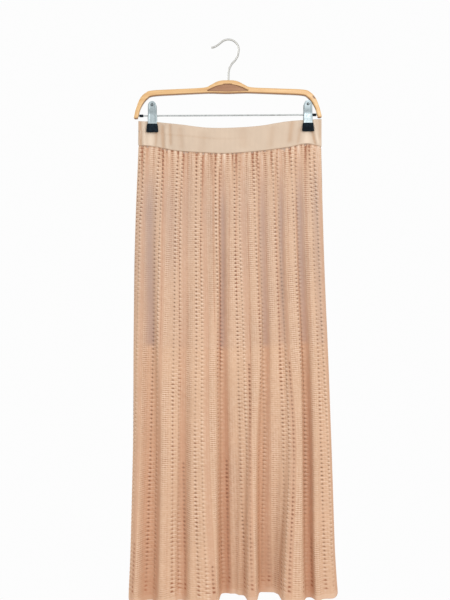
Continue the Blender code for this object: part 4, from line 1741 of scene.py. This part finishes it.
@dataclass
class Studio:
    """Pale floor, soft light from the front and the right, and a level camera in front."""

    camera_place: tuple[float, float, float] = (-0.0068, -2.1, -0.519)
    lit_place: tuple[float, float, float] = (0.0, 0.0, -0.6)
    lights: tuple[tuple[str, tuple[float, float, float], float, float], ...] = (
        ("window_light", (0.8, -2.45, 0.3), 1.3, 32.0),
        ("back_light", (-1.4, 2.0, 0.4), 1.6, 22.0),
    )
    focal_pixels: float = 1050.0
    picture_height: float = 600.0
    sensor: float = 36.0
    floor_z: float = -1.55
    floor_radius: float = 1.2
    floor_corners: int = 96
    sky: float = 0.98

    def place_camera(self) -> None:
        """Set the camera level, straight in front of the skirt."""
        data = bpy.data.cameras.new("camera")
        data.sensor_width = self.sensor
        data.lens = self.focal_pixels / self.picture_height * self.sensor
        camera = new_object("camera", data)
        camera.location = self.camera_place
        camera.rotation_euler = (math.pi / 2, 0.0, 0.0)
        bpy.context.scene.camera = camera

    def add_light(self, name: str, place: tuple[float, float, float], size: float, power: float) -> None:
        """Aim a soft square light at the middle of the skirt.

        Args:
            name: Name of the light.
            place: Where it stands.
            size: Side of the square.
            power: Power in watts.
        """
        data = bpy.data.lights.new(name, "AREA")
        data.size = size
        data.energy = power
        light = new_object(name, data)
        light.location = place
        aim = np.array(self.lit_place) - np.array(place)
        flat = math.hypot(aim[0], aim[1])
        light.rotation_euler = (math.atan2(flat, -aim[2]), 0.0, math.atan2(-aim[0], aim[1]))

    def build(self, paint: Material) -> None:
        """Set up the floor, the light and the camera.

        Args:
            paint: Finish of the floor.
        """
        world = bpy.data.worlds.new("pale_studio")
        world.use_nodes = True
        background = world.node_tree.nodes["Background"]
        background.inputs[0].default_value = (1.0, 1.0, 1.0, 1.0)
        background.inputs[1].default_value = self.sky
        bpy.context.scene.world = world
        bpy.context.scene.view_settings.view_transform = "Standard"
        turn = full_turn(self.floor_corners)
        rim = spots(self.floor_radius * np.cos(turn), self.floor_radius * np.sin(turn), self.floor_z)
        mesh = bpy.data.meshes.new("floor")
        mesh.from_pydata(rim.tolist(), [], [tuple(range(self.floor_corners))])
        mesh.materials.append(paint)
        floor = new_object("floor", mesh)
        for light in self.lights:
            self.add_light(*light)
        self.place_camera()


def main() -> None:
    """Build and dress the skirt, its hanger and the studio, in that order."""
    logging.basicConfig(level=logging.INFO, format="%(message)s")
    yarn = KnittedYarn("machine_knitted_cotton", "#cba98d", 0.9)
    openwork, rib = yarn.openwork(), KnittedYarn("ribbed_elastic_knit", "#c4b09c", 0.9).rib()
    slip = SlipCloth("plain_woven_slip", "#a8907f", 0.6).material()
    halves = (
        ("front", Drape(Facing.FRONT, FRONT_FOLDS, 7.8 * MM)),
        ("back", Drape(Facing.BACK, turned_round(FRONT_FOLDS), 5.6 * MM)),
    )
    for word, drape in halves:
        OpenworkPanel(drape, openwork, "skirt_" + word).build()
        Waistband(drape, rib, "waistband_" + word).build()
        SlipHalf(drape, slip, "lining_" + word).build()
    wood = BentBeech("lacquered_bent_beech", "#caa069", 0.45).material()
    # The recess's darker wood is partly painted shade of the recess
    recess_shaded_wood = BentBeech("carved_bare_beech", "#8e603c", 0.6, "#845634", "#9a6e48").material()
    wire = PlatedSteel("nickel_plated_wire", "#a9a8a4", 0.34).material()
    steel = PlatedSteel("zinc_plated_steel", "#9aa5a8", 0.42).material()
    rod_steel = PlatedSteel("drawn_steel_rod", "#bcc1c1", 0.35).material()
    # Dark finish of the hole rims, a painted shadow of the holes
    hole_shadow_steel = PlatedSteel("oxidised_steel_rim", "#3f4547", 0.5).material()
    rubber = MouldedRubber("moulded_black_rubber", "#061017", 0.75).material()
    BentBar(wood, recess_shaded_wood).build()
    for word, centre_x in zip(("left", "right"), CLIP_X):
        SpringClip(steel, hole_shadow_steel, rubber, word, centre_x).build()
    HangerMetal(wire, rod_steel, rubber).dress(frame["nodes"])
    Studio().build(MattPaint("rolled_floor_paint", "#f4f2ee", 0.8).material())


if __name__ == "__main__":
    main()
